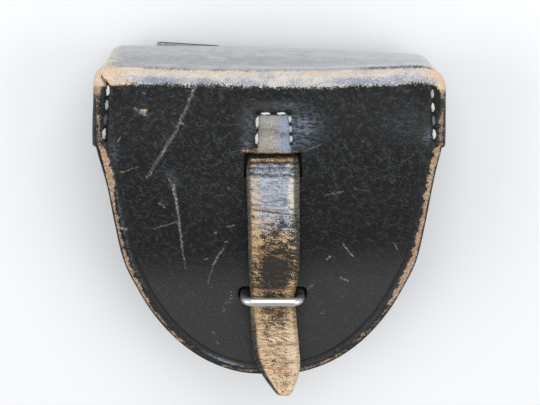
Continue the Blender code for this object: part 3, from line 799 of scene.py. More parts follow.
# Streaks of tan dust on the lid: from x, z to x, z, in the same way
LID_STREAKS = (
    (-21.2, 29.5, -17.2, 30.7, 1.4, 1.0), (-22.0, 33.0, -19.5, 33.5, 0.8, 0.6),
    (-10.2, 13.0, -2.4, 25.0, 0.7, 0.60), (-44.0, 23.5, -36.0, 26.0, 0.6, 0.50),
    (-39.0, 28.5, -30.0, 27.5, 0.5, 0.45), (-53.0, 29.0, -50.5, 32.0, 1.2, 0.5),
    (-27.0, 17.0, -23.5, 17.4, 0.6, 0.5), (3.4, 23.0, 5.4, 23.6, 0.7, 0.4),
    (8.8, 26.0, 11.4, 27.0, 0.6, 0.5), (50.0, 40.4, 58.5, 38.6, 1.6, 0.9),
    (-58.0, 24.0, -55.0, 34.0, 1.4, 0.6), (30.0, 22.0, 36.0, 23.0, 0.5, 0.35),
)
# Cuts and cracks, painted black as the shade inside them, in the same way
SHADED_CUTS = ((-59.6, 60.4, -58.6, 58.9, 0.40, 1.0), (-58.7, 59.0, -57.5, 57.0, 0.65, 1.0))
# Sewn lines: from x, y to x, y and the number of stitches
SEWN_LINES = (
    (-57.7, 57.6, -59.2, 36.6, 4), (58.2, 56.3, 59.2, 36.6, 4), (-4.3, 47.6, -4.8, 35.5, 2),
    (-4.3, 47.7, 6.9, 47.8, 2), (7.0, 47.5, 7.6, 36.6, 3),
)


def follow(place, line):
    """The inputs of an effect that follows a line, given in millimetres from x, y to x, y."""
    start_x, start_y, stop_x, stop_y = [number / 1000 for number in line]
    return {"Place": place, "From": (start_x, start_y, 0.0), "To": (stop_x, stop_y, 0.0)}


def draw_marks(recipe, place, table):
    """The strongest of a table's marks at each point."""
    marks = 0.0
    for *line, width, strength in table:
        inputs = {**follow(place, line), "Width": width / 1000}
        mark = recipe.times(recipe.use("scratch", inputs)["Mark"], strength)
        marks = recipe.larger(marks, mark) if marks else mark
    return marks


# The hide's black grain side, paler where a reflection is painted and dotted with dust, with pale hairs of
# creases that are partly painted highlights on the grain
skin, place = new_finish("grain")
sides = skin.node("SeparateXYZ", {0: place}).outputs
front_only = skin.step(sides["Z"], 0.036, 0.040)
creases, relief = skin.use("leather_grain", {"Place": place, "Size": 1350.0}).values()
film_and_sheen = skin.rubbed(place, skin.kept("film_and_sheen"), 300.0, 0.6, 2000.0, 0.16)
worn = skin.rubbed(place, skin.kept("wear"), 480.0, 0.6, 2200.0, 0.10)
tone = skin.noise(place, 240.0, 3.0)
speck = skin.noise(place, 2100.0, 2.0)
patch = skin.noise(skin.stretched(place, 0.5), 300.0, 2.0)
# A painted reflection lays a paler grey over the black on the flap's lower half and in a few patches; the
# back is evenly paler
colour = skin.mix(skin.kept("haze_and_reflection"), BLACK, HAZE_REFLECTION_GREY)
# The pale hairs fade where the reflection is painted and towards the bottom
clear = skin.times(skin.kept("haze_and_reflection"), -0.8, 0.75)
clear = skin.times(clear, skin.times(skin.step(sides["Y"], -0.010, 0.040), 0.40, 0.60))
colour = skin.mix(skin.times(creases, clear), colour, HAIRLINE)
dots = skin.times(skin.step(speck, 0.64, 0.72), skin.times(skin.kept("haze_and_reflection"), 0.7, 0.12))
colour = skin.mix(dots, colour, DUST_DOT)
# The bloom and its painted sheen are blue and cream on the fold, and grey with tan dust on the lid
fleck = skin.noise(place, 3000.0, 2.0)
warm = skin.times(patch, 0.6, skin.times(skin.kept("cool"), -0.36, skin.times(fleck, 1.3)))
on_fold = skin.mix(skin.step(warm, 0.56, 0.92), BLOOM_SHEEN_BLUE, BLOOM_SHEEN_CREAM)
drawn = skin.noise(skin.stretched(place, 0.4), 1300.0, 3.0)
to_rear = skin.fall(sides["Z"], 0.014, 0.036)
to_fold = skin.fall(skin.kept("fold"), 8.0, 11.0)
# The lid's painted sheen is lighter towards the fold, towards its rear edge and to the right
lid_tone = 0.0
for part, strength in (
    (drawn, 0.12), (fleck, 0.8), (patch, 0.40), (speck, 0.7), (to_rear, 0.20), (to_fold, 0.18),
    (sides["X"], 1.1),
):
    lid_tone = skin.times(part, strength, lid_tone)
on_lid = skin.mix(skin.step(lid_tone, 0.85, 1.27), LID_DULL, LID_PALE)
on_lid = skin.mix(skin.times(skin.step(speck, 0.56, 0.68), 0.40), on_lid, LID_DUST)
beside_fold = skin.times(skin.fall(skin.kept("fold"), 6.9, 8.2), 0.42)
on_lid = skin.mix(beside_fold, on_lid, LID_WARM)
lid_share = skin.step(skin.kept("fold"), 5.8, 6.6)
bloom_with_sheen = skin.mix(lid_share, on_fold, on_lid)
# The lid's pale grey is a painted sheen on its fine nap, shown only at a glancing view; seen straight on it
# is black
straight = skin.fall(skin.node("LayerWeight", {"Blend": 0.5}).outputs["Facing"], 0.34, 0.63)
hidden = skin.times(skin.times(skin.step(skin.kept("fold"), 7.0, 9.6), straight), 0.88)
colour = skin.mix(skin.times(film_and_sheen, skin.less(0.94, hidden)), colour, bloom_with_sheen)
# Polished places, with their painted sheen, are warm grey or cool grey, in streaks where they are thin
dabbed = skin.times(fleck, 2.4, skin.times(patch, 1.0, -0.92))
dabbed = skin.node("Clamp", {"Value": dabbed, "Min": 0.2, "Max": 1.12}).outputs[0]
polish_and_sheen = skin.times(skin.kept("polish_and_sheen"), dabbed)
thin = skin.fall(skin.kept("polish_and_sheen"), 0.35, 0.55)
streaky = skin.times(skin.step(drawn, 0.36, 0.62), 1.7, -1.0)
polish_and_sheen = skin.times(polish_and_sheen, skin.times(thin, streaky, 1.0))
polish_sheen_greys = skin.mix(skin.times(tone, 0.5, skin.less(skin.kept("cool"), 0.25)), POLISH_SHEEN_WARM, POLISH_SHEEN_COOL)
colour = skin.mix(polish_and_sheen, colour, polish_sheen_greys)
# Bare tan leather, palest on the fold, then scratches, dust, and painted shade in the holes and grooves of
# the seams
bare = skin.mix(skin.step(skin.noise(place, 1400.0, 3.0), 0.42, 0.68), TAN_DEEP, TAN)
bare_fold = skin.mix(skin.step(speck, 0.40, 0.62), TAN, TAN_PALE)
bare = skin.mix(skin.step(skin.kept("fold"), -2.0, 0.0), bare, bare_fold)
colour = skin.mix(worn, colour, bare)
scuff = skin.mix(skin.step(skin.noise(place, 1100.0, 2.0), 0.50, 0.64), SCUFF, SCUFF_TAN)
scratched = skin.times(draw_marks(skin, place, SCRATCHES), front_only)
colour = skin.mix(scratched, colour, scuff)
lid_place = skin.node("CombineXYZ", {"X": sides["X"], "Y": sides["Z"]}).outputs[0]
dusty = skin.times(draw_marks(skin, lid_place, LID_STREAKS), skin.step(skin.kept("fold"), 6.6, 7.4))
dusty = skin.times(dusty, skin.step(sides["Y"], 0.050, 0.056))
colour = skin.mix(dusty, colour, LID_DUST)
# The seams' grooves and holes, and the cuts, are painted dark as the shade in them
sewn = 0.0
for *line, count in SEWN_LINES:
    groove, holes = skin.use("sewn_line", {**follow(place, line), "Count": float(count)}).values()
    dark = skin.larger(skin.times(groove, 0.45), holes)
    sewn = skin.larger(sewn, dark) if sewn else dark
sewn = skin.times(skin.larger(sewn, draw_marks(skin, place, SHADED_CUTS)), front_only)
colour = skin.mix(sewn, colour, HOLE_SHADE_BLACK)
relief = skin.times(sewn, -4.0, skin.times(worn, -0.5, relief))
skin.finish(
    Base_Color=colour,
    Specular_IOR_Level=0.22,
    Coat_Weight=skin.times(skin.kept("lid"), 0.9),
    Coat_Roughness=0.32,
    Roughness=skin.times(worn, 0.22, skin.times(tone, 0.20, 0.30)),
    Height=(relief, 0.00010),
)

# Inside, the hide is brown suede; its cut edge is dyed black and rubbed brown, and its near-black also
# paints the shade inside the slots
flesh, place = new_finish("flesh")
nap = flesh.noise(place, 1300.0, 4.0)
colour = flesh.mix(flesh.noise(place, 90.0, 3.0), (0.045, 0.030, 0.020), (0.10, 0.068, 0.045))
flesh.finish(Base_Color=flesh.mix(nap, colour, (0.070, 0.048, 0.032)), Roughness=0.9, Height=(nap, 0.0002))
cut, place = new_finish("cut_edge")
layers = cut.noise(place, 900.0, 4.0)
worn = cut.rubbed(place, cut.kept("wear"), 480.0, 0.6, 2200.0, 0.10)
colour = cut.mix(layers, (0.006, 0.0055, 0.005), (0.020, 0.015, 0.011))
cut.finish(Base_Color=cut.mix(worn, colour, TAN_DEEP), Roughness=0.62, Height=(layers, 0.00015))


def dress(piece, finish, slot, *nodes):
    """Give the piece its finish and smooth shading; hang it on the root body and hide the model parts it
    stands for.
    """
    if finish:
        piece.data.materials.append(bpy.data.materials[finish])
    alone(piece)
    bpy.ops.object.shade_smooth_by_angle(angle=math.radians(40))
    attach(piece, "root")
    if nodes:
        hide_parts(*nodes)


dress(cover, None, "cover_leather", "cover")


# The front panel is a flat piece of brown-black leather under the flap. It is cut to a U, sewn
# to the gusset along its edge, and the staple's legs go through its two punched holes.
PANEL = 0.0024
PANEL_ROUND = 0.0005
PLY_GAP = 0.0003
PANEL_FRONT = FRONT - HIDE - PLY_GAP
PANEL_BACK = PANEL_FRONT - PANEL
BODY_HALF = 0.0579
MOUTH = 0.0520
SEWN_INSET = 0.0012
STAPLE_Y = -0.0230
STAPLE_MIDDLE = 0.0009
STAPLE_LEG = 0.0103
LEG_HOLE = 0.0020
DOUBLED = 0.000005      # points nearer to each other than this are one


def lengths_along(line):
    """How far each point of a line is from its start, along the line."""
    return np.cumsum(np.r_[0.0, np.linalg.norm(np.diff(line, axis=0), axis=1)])


def body_line(inset, pitch):
    """The body's U from mouth to mouth, inset from its sewn edge, with a point at each pitch."""
    line = [np.array((point[0] - flare(*point), point[1])) for point in whole_edge]
    reach = BODY_HALF - inset
    inner = [(reach, MOUTH)]
    for before, here, after in zip([line[0]] + line, line, line[1:] + [line[-1]]):
        run = after - before
        point = here + np.array([run[1], -run[0]]) / np.linalg.norm(run) * (SEWN_INSET + inset)
        inner.append((min(max(point[0], -reach), reach), point[1]))
    inner = np.array(inner + [(-reach, MOUTH)])
    lengths = lengths_along(inner)
    stops = np.linspace(0.0, lengths[-1], round(lengths[-1] / pitch) + 1)
    return np.column_stack([np.interp(stops, lengths, side) for side in inner.T])


def draw_line(name, points, cyclic):
    """A curve object of straight steps through the points."""
    data = bpy.data.curves.new(name, "CURVE")
    data.dimensions = "3D"
    spline = data.splines.new("POLY")
    spline.points.add(len(points) - 1)
    for place, (x, y) in zip(spline.points, points):
        place.co = (x, y, 0.0, 1.0)
    spline.use_cyclic_u = cyclic
    line = bpy.data.objects.new(name, data)
    bpy.context.scene.collection.objects.link(line)
    return line


def clean(piece):
    """Merge doubled points and turn all faces outwards."""
    alone(piece)
    bpy.ops.object.mode_set(mode="EDIT")
    bpy.ops.mesh.select_all(action="SELECT")
    bpy.ops.mesh.remove_doubles(threshold=DOUBLED)
    bpy.ops.mesh.normals_make_consistent(inside=False)
    bpy.ops.object.mode_set(mode="OBJECT")


def as_mesh(line):
    """Turn a curve into a mesh piece of the same name."""
    alone(line)
    bpy.ops.object.convert(target="MESH")
    piece = bpy.context.object
    bpy.ops.object.transform_apply(location=True, rotation=True, scale=True)
    clean(piece)
    return piece


panel_line = draw_line("leather_front_panel", body_line(0.0, 0.0012), True)
panel_line.data.dimensions = "2D"
panel_line.data.fill_mode = "BOTH"
panel_line.data.extrude = PANEL / 2 - PANEL_ROUND
panel_line.data.bevel_depth = PANEL_ROUND
panel_line.data.bevel_resolution = 2
panel_line.data.offset = -PANEL_ROUND
panel_line.location.z = (PANEL_FRONT + PANEL_BACK) / 2
front_panel = as_mesh(panel_line)
for side in (-1, 1):
    bpy.ops.object.select_all(action="DESELECT")
    bpy.ops.mesh.primitive_cylinder_add(
        vertices=24, radius=LEG_HOLE, depth=4 * PANEL,
        location=(STAPLE_MIDDLE + side * STAPLE_LEG, STAPLE_Y, PANEL_BACK),
    )
    punch = bpy.context.object
    apply_modifier(front_panel, "BOOLEAN", object=punch, operation="DIFFERENCE", solver="EXACT")
    bpy.data.objects.remove(punch)
panel, place = new_finish("body_leather_panel")
fibres = panel.noise(place, 900.0, 4.0)
creases, relief = panel.use("leather_grain", {"Place": place, "Size": 800.0}).values()
colour = panel.mix(panel.noise(place, 60.0, 3.0), (0.008, 0.007, 0.006), (0.020, 0.015, 0.011))
colour = panel.mix(panel.times(creases, 0.5), colour, (0.060, 0.045, 0.032))
panel.finish(Base_Color=colour, Roughness=panel.times(fibres, 0.25, 0.48), Height=(relief, 0.00012))
dress(front_panel, "body_leather_panel", "body_leather", "front_panel")


# The gusset is one long strip that makes the sides and the bottom of the pouch. Its two edges
# are turned outwards and sewn to the front panel and to the back, all round the U.
SEAM_WIDTH = 0.0045
GUSSET_FRONT = PANEL_BACK - PLY_GAP
GUSSET_BACK = BACK + HIDE + PLY_GAP

# The strip's outer and inner side at a turned edge: how far outwards, and how far from the edge
OUTER_TURN = (
    (SEAM_WIDTH, 0.0), (SEAM_WIDTH, PANEL), (0.0016, PANEL), (0.0004, PANEL + 0.0004), (0.0, PANEL + 0.0016),
)
INNER_TURN = ((-0.0024, 0.0040), (-0.0022, 0.0020), (-0.0012, 0.0006), (0.0006, 0.0))
BELLY = ((-0.0004, 0.0300), (-0.0006, 0.0265), (-0.0004, 0.0230))
section = [(outwards, GUSSET_FRONT - depth) for outwards, depth in OUTER_TURN] + list(BELLY)
section += [(outwards, GUSSET_BACK + depth) for outwards, depth in reversed(INNER_TURN + OUTER_TURN)]
section += [(outwards - PANEL, height) for outwards, height in reversed(BELLY)]
section += [(outwards, GUSSET_FRONT - depth) for outwards, depth in INNER_TURN]
# Along the body's line a section's own +X points into the pouch
profile = draw_line("gusset_section", [(-outwards, height) for outwards, height in section], True)
gusset_line = draw_line("leather_gusset", body_line(SEAM_WIDTH, 0.0020), False)
gusset_line.data.bevel_mode = "OBJECT"
gusset_line.data.bevel_object = profile
gusset_line.data.use_fill_caps = True
gusset = as_mesh(gusset_line)
bpy.data.objects.remove(profile)
apply_modifier(
    gusset, "BEVEL", limit_method="ANGLE", angle_limit=math.radians(60), width=PANEL_ROUND, segments=2,
    use_clamp_overlap=False,
)
wall, place = new_finish("body_leather_gusset")
fibres = wall.noise(place, 1100.0, 4.0)
creases, relief = wall.use("leather_grain", {"Place": place, "Size": 650.0}).values()
scuffs = wall.rubbed(place, 0.30, 110.0, 1.0, 1600.0, 0.10)
colour = wall.mix(wall.noise(place, 45.0, 3.0), (0.013, 0.011, 0.010), (0.030, 0.022, 0.017))
colour = wall.mix(wall.times(creases, 0.6), colour, (0.075, 0.062, 0.050))
colour = wall.mix(wall.times(scuffs, 0.5), colour, (0.15, 0.105, 0.07))
wall.finish(Base_Color=colour, Roughness=wall.times(fibres, 0.25, 0.42), Height=(relief, 0.00014))
dress(gusset, "body_leather_gusset", "body_leather", "gusset")


# The closing strap is a long tongue of the same black leather, sewn behind the flap. It comes
# out through the flap's slot and goes under the staple, and its edges are rounded and worn.
STRAP = 0.0028
STRAP_ROUND = 0.0012
BEND_STEP = 0.0004      # a strip's slope is read off over this much before and after each point
STRAP_ROWS = (
    (0.0498, 0.0482, -0.0058, 0.0082), (0.0420, 0.0485, -0.0060, 0.0084),
    (0.0345, 0.0482, -0.0062, 0.0086), (0.0316, 0.0479, -0.0078, 0.0100),
    (0.0293, 0.0498, -0.0082, 0.0105), (0.0268, 0.0520, -0.0085, 0.0107),
    (0.0235, 0.0540, -0.0085, 0.0107), (0.0180, 0.0552, -0.0083, 0.0107),
    (0.0080, 0.0557, -0.0081, 0.0108), (-0.0040, 0.0554, -0.0080, 0.0109),
    (-0.0140, 0.0548, -0.0077, 0.0107), (-0.0190, 0.0545, -0.0075, 0.0097),
    (-0.0230, 0.0542, -0.0073, 0.0091), (-0.0280, 0.0536, -0.0073, 0.0097),
    (-0.0360, 0.0527, -0.0072, 0.0103), (-0.0440, 0.0520, -0.0068, 0.0110),
    (-0.0500, 0.0517, -0.0056, 0.0115), (-0.0550, 0.0519, -0.0035, 0.0112),
    (-0.0600, 0.0525, -0.0002, 0.0096), (-0.0631, 0.0530, 0.0022, 0.0083),
    (-0.0640, 0.0532, 0.0036, 0.0072),
)


def strip(name, rows, thickness, edge_round, pitch, columns):
    """A bar with rounded long edges, bent so that its outer face follows rows of y, z, left, right."""
    line = np.array(rows)
    lengths = lengths_along(line[:, :2])
    total = lengths[-1]
    half = float(np.max(line[:, 3] - line[:, 2])) / 2
    piece = add_box(name, (0.0, total / 2, -thickness / 2), (2 * half, total, thickness))
    bpy.ops.object.mode_set(mode="EDIT")
    pick(piece, "edges", lambda edge: abs(edge.verts[0].co.y - edge.verts[1].co.y) > total / 2)
    bpy.ops.mesh.bevel(offset=edge_round, segments=5, affect="EDGES")
    pick(piece, "edges", lambda edge: len(edge.link_faces) == 2 and edge.calc_face_angle() > 1.0)
    bpy.ops.mesh.bevel(offset=min(edge_round, 0.0007), segments=3, affect="EDGES")
    slice_at(1, spread(0.0, total, pitch))
    slice_at(0, spread(-half + edge_round, half - edge_round, 2 * half / columns))
    bpy.ops.object.mode_set(mode="OBJECT")
    places = points_of(piece)
    across, run, high = places.T.copy()
    store_values(piece, "across", across / half)
    store_values(piece, "depth", -high / thickness)
    y, z, left, right = [np.interp(run, lengths, line[:, column]) for column in range(4)]
    ahead_y, ahead_z = [
        np.interp(run + BEND_STEP, lengths, side) - np.interp(run - BEND_STEP, lengths, side)
        for side in (line[:, 0], line[:, 1])
    ]
    size = np.hypot(ahead_y, ahead_z)
    # The rounded edges keep their width, and only the flat part between them is squeezed
    side = np.sign(across)
    flat = half - edge_round
    share = np.minimum(np.abs(across) / flat, 1.0)
    extra = np.maximum(np.abs(across) - flat, 0.0)
    middle, reach = (left + right) / 2, (right - left) / 2
    new_x = middle + side * (share * np.maximum(reach - edge_round, 0.0005) + extra)
    put_points(piece, np.column_stack([new_x, y + high * ahead_z / size, z - high * ahead_y / size]))
    clean(piece)
    return piece


strap = strip("closing_strap", smooth_rows(STRAP_ROWS, 6), STRAP, STRAP_ROUND, 0.00055, 30)

# How far the strap's dye is worn through at its left, middle and right, how much grey bloom it has, with a
# painted bluish sheen, and how dark its two rounded edges still are, from its tip up to its slot
STRAP_WEAR = (
    (-64.0, 0.80, 0.74, 0.85, 0.10, 0.8, 0.1), (-58.0, 0.82, 0.58, 0.86, 0.25, 1.0, 0.1),
    (-50.0, 0.84, 0.62, 0.90, 0.25, 1.0, 0.1), (-43.0, 0.80, 0.56, 0.88, 0.20, 1.0, 0.3),
    (-36.0, 0.76, 0.50, 0.80, 0.20, 1.0, 0.4), (-31.0, 0.68, 0.42, 0.68, 0.10, 0.8, 0.4),
    (-26.0, 0.62, 0.34, 0.60, 0.0, 0.6, 0.4), (-20.0, 0.54, 0.36, 0.58, 0.0, 0.7, 0.4),
    (-17.0, 0.50, 0.20, 0.52, 0.0, 0.8, 0.6), (-14.0, 0.46, 0.06, 0.42, 0.0, 0.9, 0.7),
    (-9.0, 0.48, 0.12, 0.34, 0.0, 0.9, 0.8), (-4.0, 0.60, 0.30, 0.38, 0.02, 0.9, 0.9),
    (1.0, 0.68, 0.42, 0.38, 0.18, 0.9, 0.9), (5.0, 0.68, 0.40, 0.38, 0.40, 0.9, 0.9),
    (9.0, 0.62, 0.34, 0.40, 0.60, 0.9, 0.9), (13.0, 0.58, 0.24, 0.66, 0.84, 0.9, 0.9),
    (18.0, 0.60, 0.22, 0.80, 0.96, 0.9, 0.9), (23.0, 0.58, 0.14, 0.74, 0.92, 0.9, 0.9),
    (26.0, 0.44, 0.16, 0.36, 0.74, 0.9, 0.9), (28.8, 0.42, 0.24, 0.36, 0.60, 0.9, 0.9),
    (29.4, 0.62, 0.60, 0.86, 0.10, 0.9, 0.9), (30.2, 0.56, 0.60, 0.90, 0.00, 0.9, 0.9),
    (30.7, 0.00, 0.00, 0.00, 0.00, 1.0, 1.0), (31.4, -0.5, -0.5, -0.5, -0.5, 1.0, 1.0),
)
# Folds across the strap, dark and rust coloured, and as the last dark row the painted shadow under the
# slot's lip: from x, y to x, y, half width and strength
DARK_FOLDS_AND_SLOT_SHADE = (
    (-7.4, 28.9, 9.6, 29.1, 0.50, 0.85), (-7.2, 27.3, 9.8, 27.5, 0.40, 0.75),
    (-6.8, 25.5, 9.8, 25.0, 0.45, 0.80), (-5.6, 12.9, 2.6, 11.6, 0.42, 0.85),
    (2.6, 11.6, 9.6, 10.9, 0.36, 0.70), (-8.0, 31.7, 10.2, 31.7, 1.15, 1.0),
)
RUST_FOLDS = (
    (3.2, 29.9, 9.4, 30.4, 0.45, 0.9), (-8.0, 13.4, -3.6, 13.6, 0.5, 0.7),
    (-3.8, 13.4, 4.0, 12.0, 0.45, 0.7), (-7.0, -19.4, 6.0, -19.0, 0.5, 0.6),
    (-2.4, -38.6, 9.6, -37.8, 0.45, 0.75), (-6.4, -44.0, 4.2, -42.4, 0.45, 0.75),
    (4.0, -42.2, 9.8, -43.2, 0.40, 0.6), (-5.4, -52.4, 7.8, -53.2, 0.50, 0.8),
    (-2.6, -56.4, 2.0, -54.6, 0.45, 0.8), (2.0, -54.6, 8.4, -54.4, 0.40, 0.6),
    (-7.0, -48.4, 3.2, -48.9, 0.36, 0.5), (0.6, -4.6, 9.6, -7.4, 0.35, 0.5),
)
x, y, z = points_of(strap).T * 1000
across = values_of(strap, "across")
stops, *rows = np.array(STRAP_WEAR).T
left, middle, right, bloom_with_sheen, edge_left, edge_right = [np.interp(y, stops, row) for row in rows]
to_left, to_right = rise(-across, 0.25, 0.75), rise(across, 0.40, 0.78)
store_values(strap, "wear", middle + (left - middle) * to_left + (right - middle) * to_right)
store_values(strap, "film_and_sheen", bloom_with_sheen * (1 - 0.35 * rise(np.abs(across), 0.6, 0.85)))
wide_edge = np.where((across < 0) & (y < -25.0), 0.10 * rise(-y, 25.0, 38.0), 0.0)
wide_edge += np.where(across > 0, 0.08 * rise(y, 0.0, 12.0), 0.0)
dark_edge = np.where(across < 0, edge_left, edge_right) * rise(np.abs(across) + wide_edge, 0.80, 0.90)
store_values(strap, "dark", np.maximum(dark_edge, 0.9 * rise(values_of(strap, "depth"), 0.25, 0.5)))

# The folds are pressed into the mesh too
places = points_of(strap)
outer = 1 - rise(values_of(strap, "depth"), 0.1, 0.5)
for table, deep in ((DARK_FOLDS_AND_SLOT_SHADE, 0.00022), (RUST_FOLDS, 0.00016)):
    for *line, width, strength in table:
        gap = distance_to_run(np.column_stack([x, y]), np.array(line[:2]), np.array(line[2:]))
        places[:, 2] += deep * strength * (0.35 * bell(gap - 1.3, 0.7) - bell(gap, 0.6)) * outer
put_points(strap, places)

STRAP_BLACK = (0.022, 0.021, 0.015)
STRAP_BROWN = (0.095, 0.072, 0.050)
STRAP_SHEEN_BLUE = (0.155, 0.178, 0.225)
STRAP_SHEEN_GREY = (0.43, 0.455, 0.50)
OCHRE_DEEP = (0.29, 0.155, 0.060)
OCHRE = (0.66, 0.46, 0.245)
BEIGE_DEEP = (0.46, 0.28, 0.130)
BEIGE = (0.90, 0.69, 0.44)
RUST = (0.40, 0.18, 0.070)
# Above, the strap's dye is left with grey bloom on it under a painted bluish sheen; it wears to ochre, and
# to beige at its tip
hide, place = new_finish("strap_leather_worn")
wavy = hide.crooked(place, 300.0, 2.0, (0.0030, 0.0024, 0.0))
wrinkles = hide.noise(hide.stretched(hide.turned(wavy, 0.25), 0.30, 1.0, 0.4), 1150.0, 2.0)
ridges = hide.absolute(hide.less(hide.noise(hide.stretched(wavy, 0.05, 1.0, 0.4), 560.0, 1.0), 0.5))
cracks = hide.times(hide.fall(ridges, 0.008, 0.036), hide.step(hide.noise(place, 420.0, 3.0), 0.46, 0.58))
cracks = hide.times(cracks, hide.times(hide.kept("film_and_sheen"), -0.6, 1.0))
level = hide.times(hide.less(wrinkles, 0.5), 1.1, hide.kept("wear"))
worn = hide.rubbed(place, level, 420.0, 0.4, 2600.0, 0.12)
film_and_sheen = hide.rubbed(wavy, hide.kept("film_and_sheen"), 420.0, 0.9, 1900.0, 0.20)
tone = hide.noise(place, 200.0, 3.0)
speck = hide.noise(place, 1900.0, 2.0)
hatch = hide.step(hide.times(speck, 0.7, wrinkles), 0.62, 1.02)
sheen_grey = hide.mix(hatch, STRAP_SHEEN_BLUE, STRAP_SHEEN_GREY)
low_down = hide.fall(hide.node("SeparateXYZ", {0: place}).outputs["Y"], -0.0370, -0.0250)
unworn = hide.mix(low_down, STRAP_BLACK, STRAP_BROWN)
colour = hide.mix(hide.times(film_and_sheen, 0.95), unworn, sheen_grey)
fleck = hide.noise(place, 2900.0, 2.0)
mottle = hide.step(hide.times(fleck, 1.2, hide.times(tone, 0.6)), 0.66, 1.12)
ochre = hide.mix(mottle, OCHRE_DEEP, OCHRE)
beige = hide.mix(mottle, BEIGE_DEEP, BEIGE)
fine_lines = hide.noise(hide.stretched(wavy, 0.16, 1.0, 0.4), 1700.0, 2.0)
beige = hide.mix(hide.times(hide.step(fine_lines, 0.50, 0.62), 0.62), beige, (0.36, 0.185, 0.090))
bare = hide.mix(low_down, ochre, beige)
bare = hide.mix(hide.times(film_and_sheen, 0.5), bare, (0.60, 0.52, 0.43))
pale_side = hide.times(hide.step(hide.kept("across"), 0.30, 0.55), hide.kept("film_and_sheen"))
bare = hide.mix(hide.times(pale_side, 0.8), bare, (0.76, 0.71, 0.63))
colour = hide.mix(worn, colour, bare)
colour = hide.mix(hide.times(cracks, 0.7), colour, (0.13, 0.065, 0.028))
colour = hide.mix(draw_marks(hide, place, RUST_FOLDS), colour, RUST)
# The dark folds, and the painted shadow under the slot's lip
folds_and_slot_shade = draw_marks(hide, place, DARK_FOLDS_AND_SLOT_SHADE)
rubbed_edge = hide.step(hide.noise(place, 1300.0, 3.0), 0.42, 0.66)
edge_colour = hide.mix(rubbed_edge, (0.012, 0.012, 0.009), (0.09, 0.085, 0.062))
colour = hide.mix(hide.kept("dark"), colour, edge_colour)
colour = hide.mix(folds_and_slot_shade, colour, (0.014, 0.011, 0.009))
relief = hide.times(hide.larger(cracks, folds_and_slot_shade), -1.5, hide.maths("ADD", wrinkles, hide.times(speck, 0.6)))
hide.finish(
    Base_Color=colour,
    Specular_IOR_Level=0.36,
    Roughness=hide.times(hide.larger(worn, hide.kept("dark")), 0.24, hide.times(tone, 0.18, 0.32)),
    Height=(relief, 0.00022),
)
dress(strap, "strap_leather_worn", "strap_leather", "closure_strap")


# The staple is one piece of steel wire bent to a flat-topped loop. Its legs were pushed through
# the flap's slot and the front panel and turned outwards behind it, and its bar is worn bright.
WIRE_RADIUS = 0.0017
WIRE_END_ROUND = 0.0005
BAR_HEIGHT = 0.0563
BAR_BEND = 0.0033
CLINCH = 0.0060
CLINCH_BEND = 0.0022
clinch_z = PANEL_BACK - PLY_GAP - WIRE_RADIUS
left_leg = STAPLE_MIDDLE - STAPLE_LEG
right_leg = STAPLE_MIDDLE + STAPLE_LEG


def draw_out(x, z):
    """Draw the selected end of the wire out along a straight run."""
    bpy.ops.mesh.extrude_region_move(TRANSFORM_OT_translate={"value": (x, 0.0, z)})


def bend_wire(x, z, turn, steps):
    """Bend the selected end of the wire a quarter turn round a point, downwards with turn 1."""
    bpy.ops.mesh.spin(
        steps=steps, angle=math.pi / 2, center=(x, STAPLE_Y, z), axis=(0.0, float(-turn), 0.0)
    )


bpy.ops.object.select_all(action="DESELECT")
bpy.ops.mesh.primitive_circle_add(
    vertices=20, radius=WIRE_RADIUS, fill_type="NGON",
    location=(left_leg - CLINCH, STAPLE_Y, clinch_z), rotation=(0.0, math.pi / 2, 0.0),
)
staple = bpy.context.object
staple.name = "wire_staple"
bpy.ops.object.transform_apply(location=True, rotation=True, scale=True)
bpy.ops.object.mode_set(mode="EDIT")
bpy.ops.mesh.select_mode(type="FACE")
bpy.ops.mesh.select_all(action="SELECT")
draw_out(CLINCH - CLINCH_BEND, 0.0)
bend_wire(left_leg - CLINCH_BEND, clinch_z + CLINCH_BEND, -1, 6)
draw_out(0.0, BAR_HEIGHT - BAR_BEND - clinch_z - CLINCH_BEND)
bend_wire(left_leg + BAR_BEND, BAR_HEIGHT - BAR_BEND, 1, 10)
for _ in range(6):
    draw_out((right_leg - left_leg - 2 * BAR_BEND) / 6, 0.0)
bend_wire(right_leg - BAR_BEND, BAR_HEIGHT - BAR_BEND, 1, 10)
draw_out(0.0, -(BAR_HEIGHT - BAR_BEND - clinch_z - CLINCH_BEND))
bend_wire(right_leg + CLINCH_BEND, clinch_z + CLINCH_BEND, -1, 6)
draw_out(CLINCH - CLINCH_BEND, 0.0)
bpy.ops.object.mode_set(mode="OBJECT")
clean(staple)
apply_modifier(
    staple, "BEVEL", limit_method="ANGLE", angle_limit=math.radians(60), width=WIRE_END_ROUND, segments=2
)
wire, place = new_finish("staple_steel_worn")
lines = wire.noise(wire.stretched(place, 0.06), 1700.0, 2.0)
height = wire.node("SeparateXYZ", {0: place}).outputs["Z"]
# The wire is darker towards the bottom, below the bar and down into the slot
tone_share = wire.times(wire.fall(height, 0.0485, 0.0525), wire.step(wire.noise(place, 500.0, 3.0), 0.30, 0.60))
colour = wire.mix(lines, (0.72, 0.71, 0.70), (0.85, 0.84, 0.83))
colour = wire.mix(wire.times(tone_share, 0.8), colour, (0.060, 0.052, 0.045))
wire.finish(
    Base_Color=colour,
    Metallic=1.0,
    Roughness=wire.times(tone_share, 0.25, wire.times(lines, 0.12, 0.26)),
    Height=(lines, 0.000012),
)
dress(staple, "staple_steel_worn", "staple_steel", "staple")


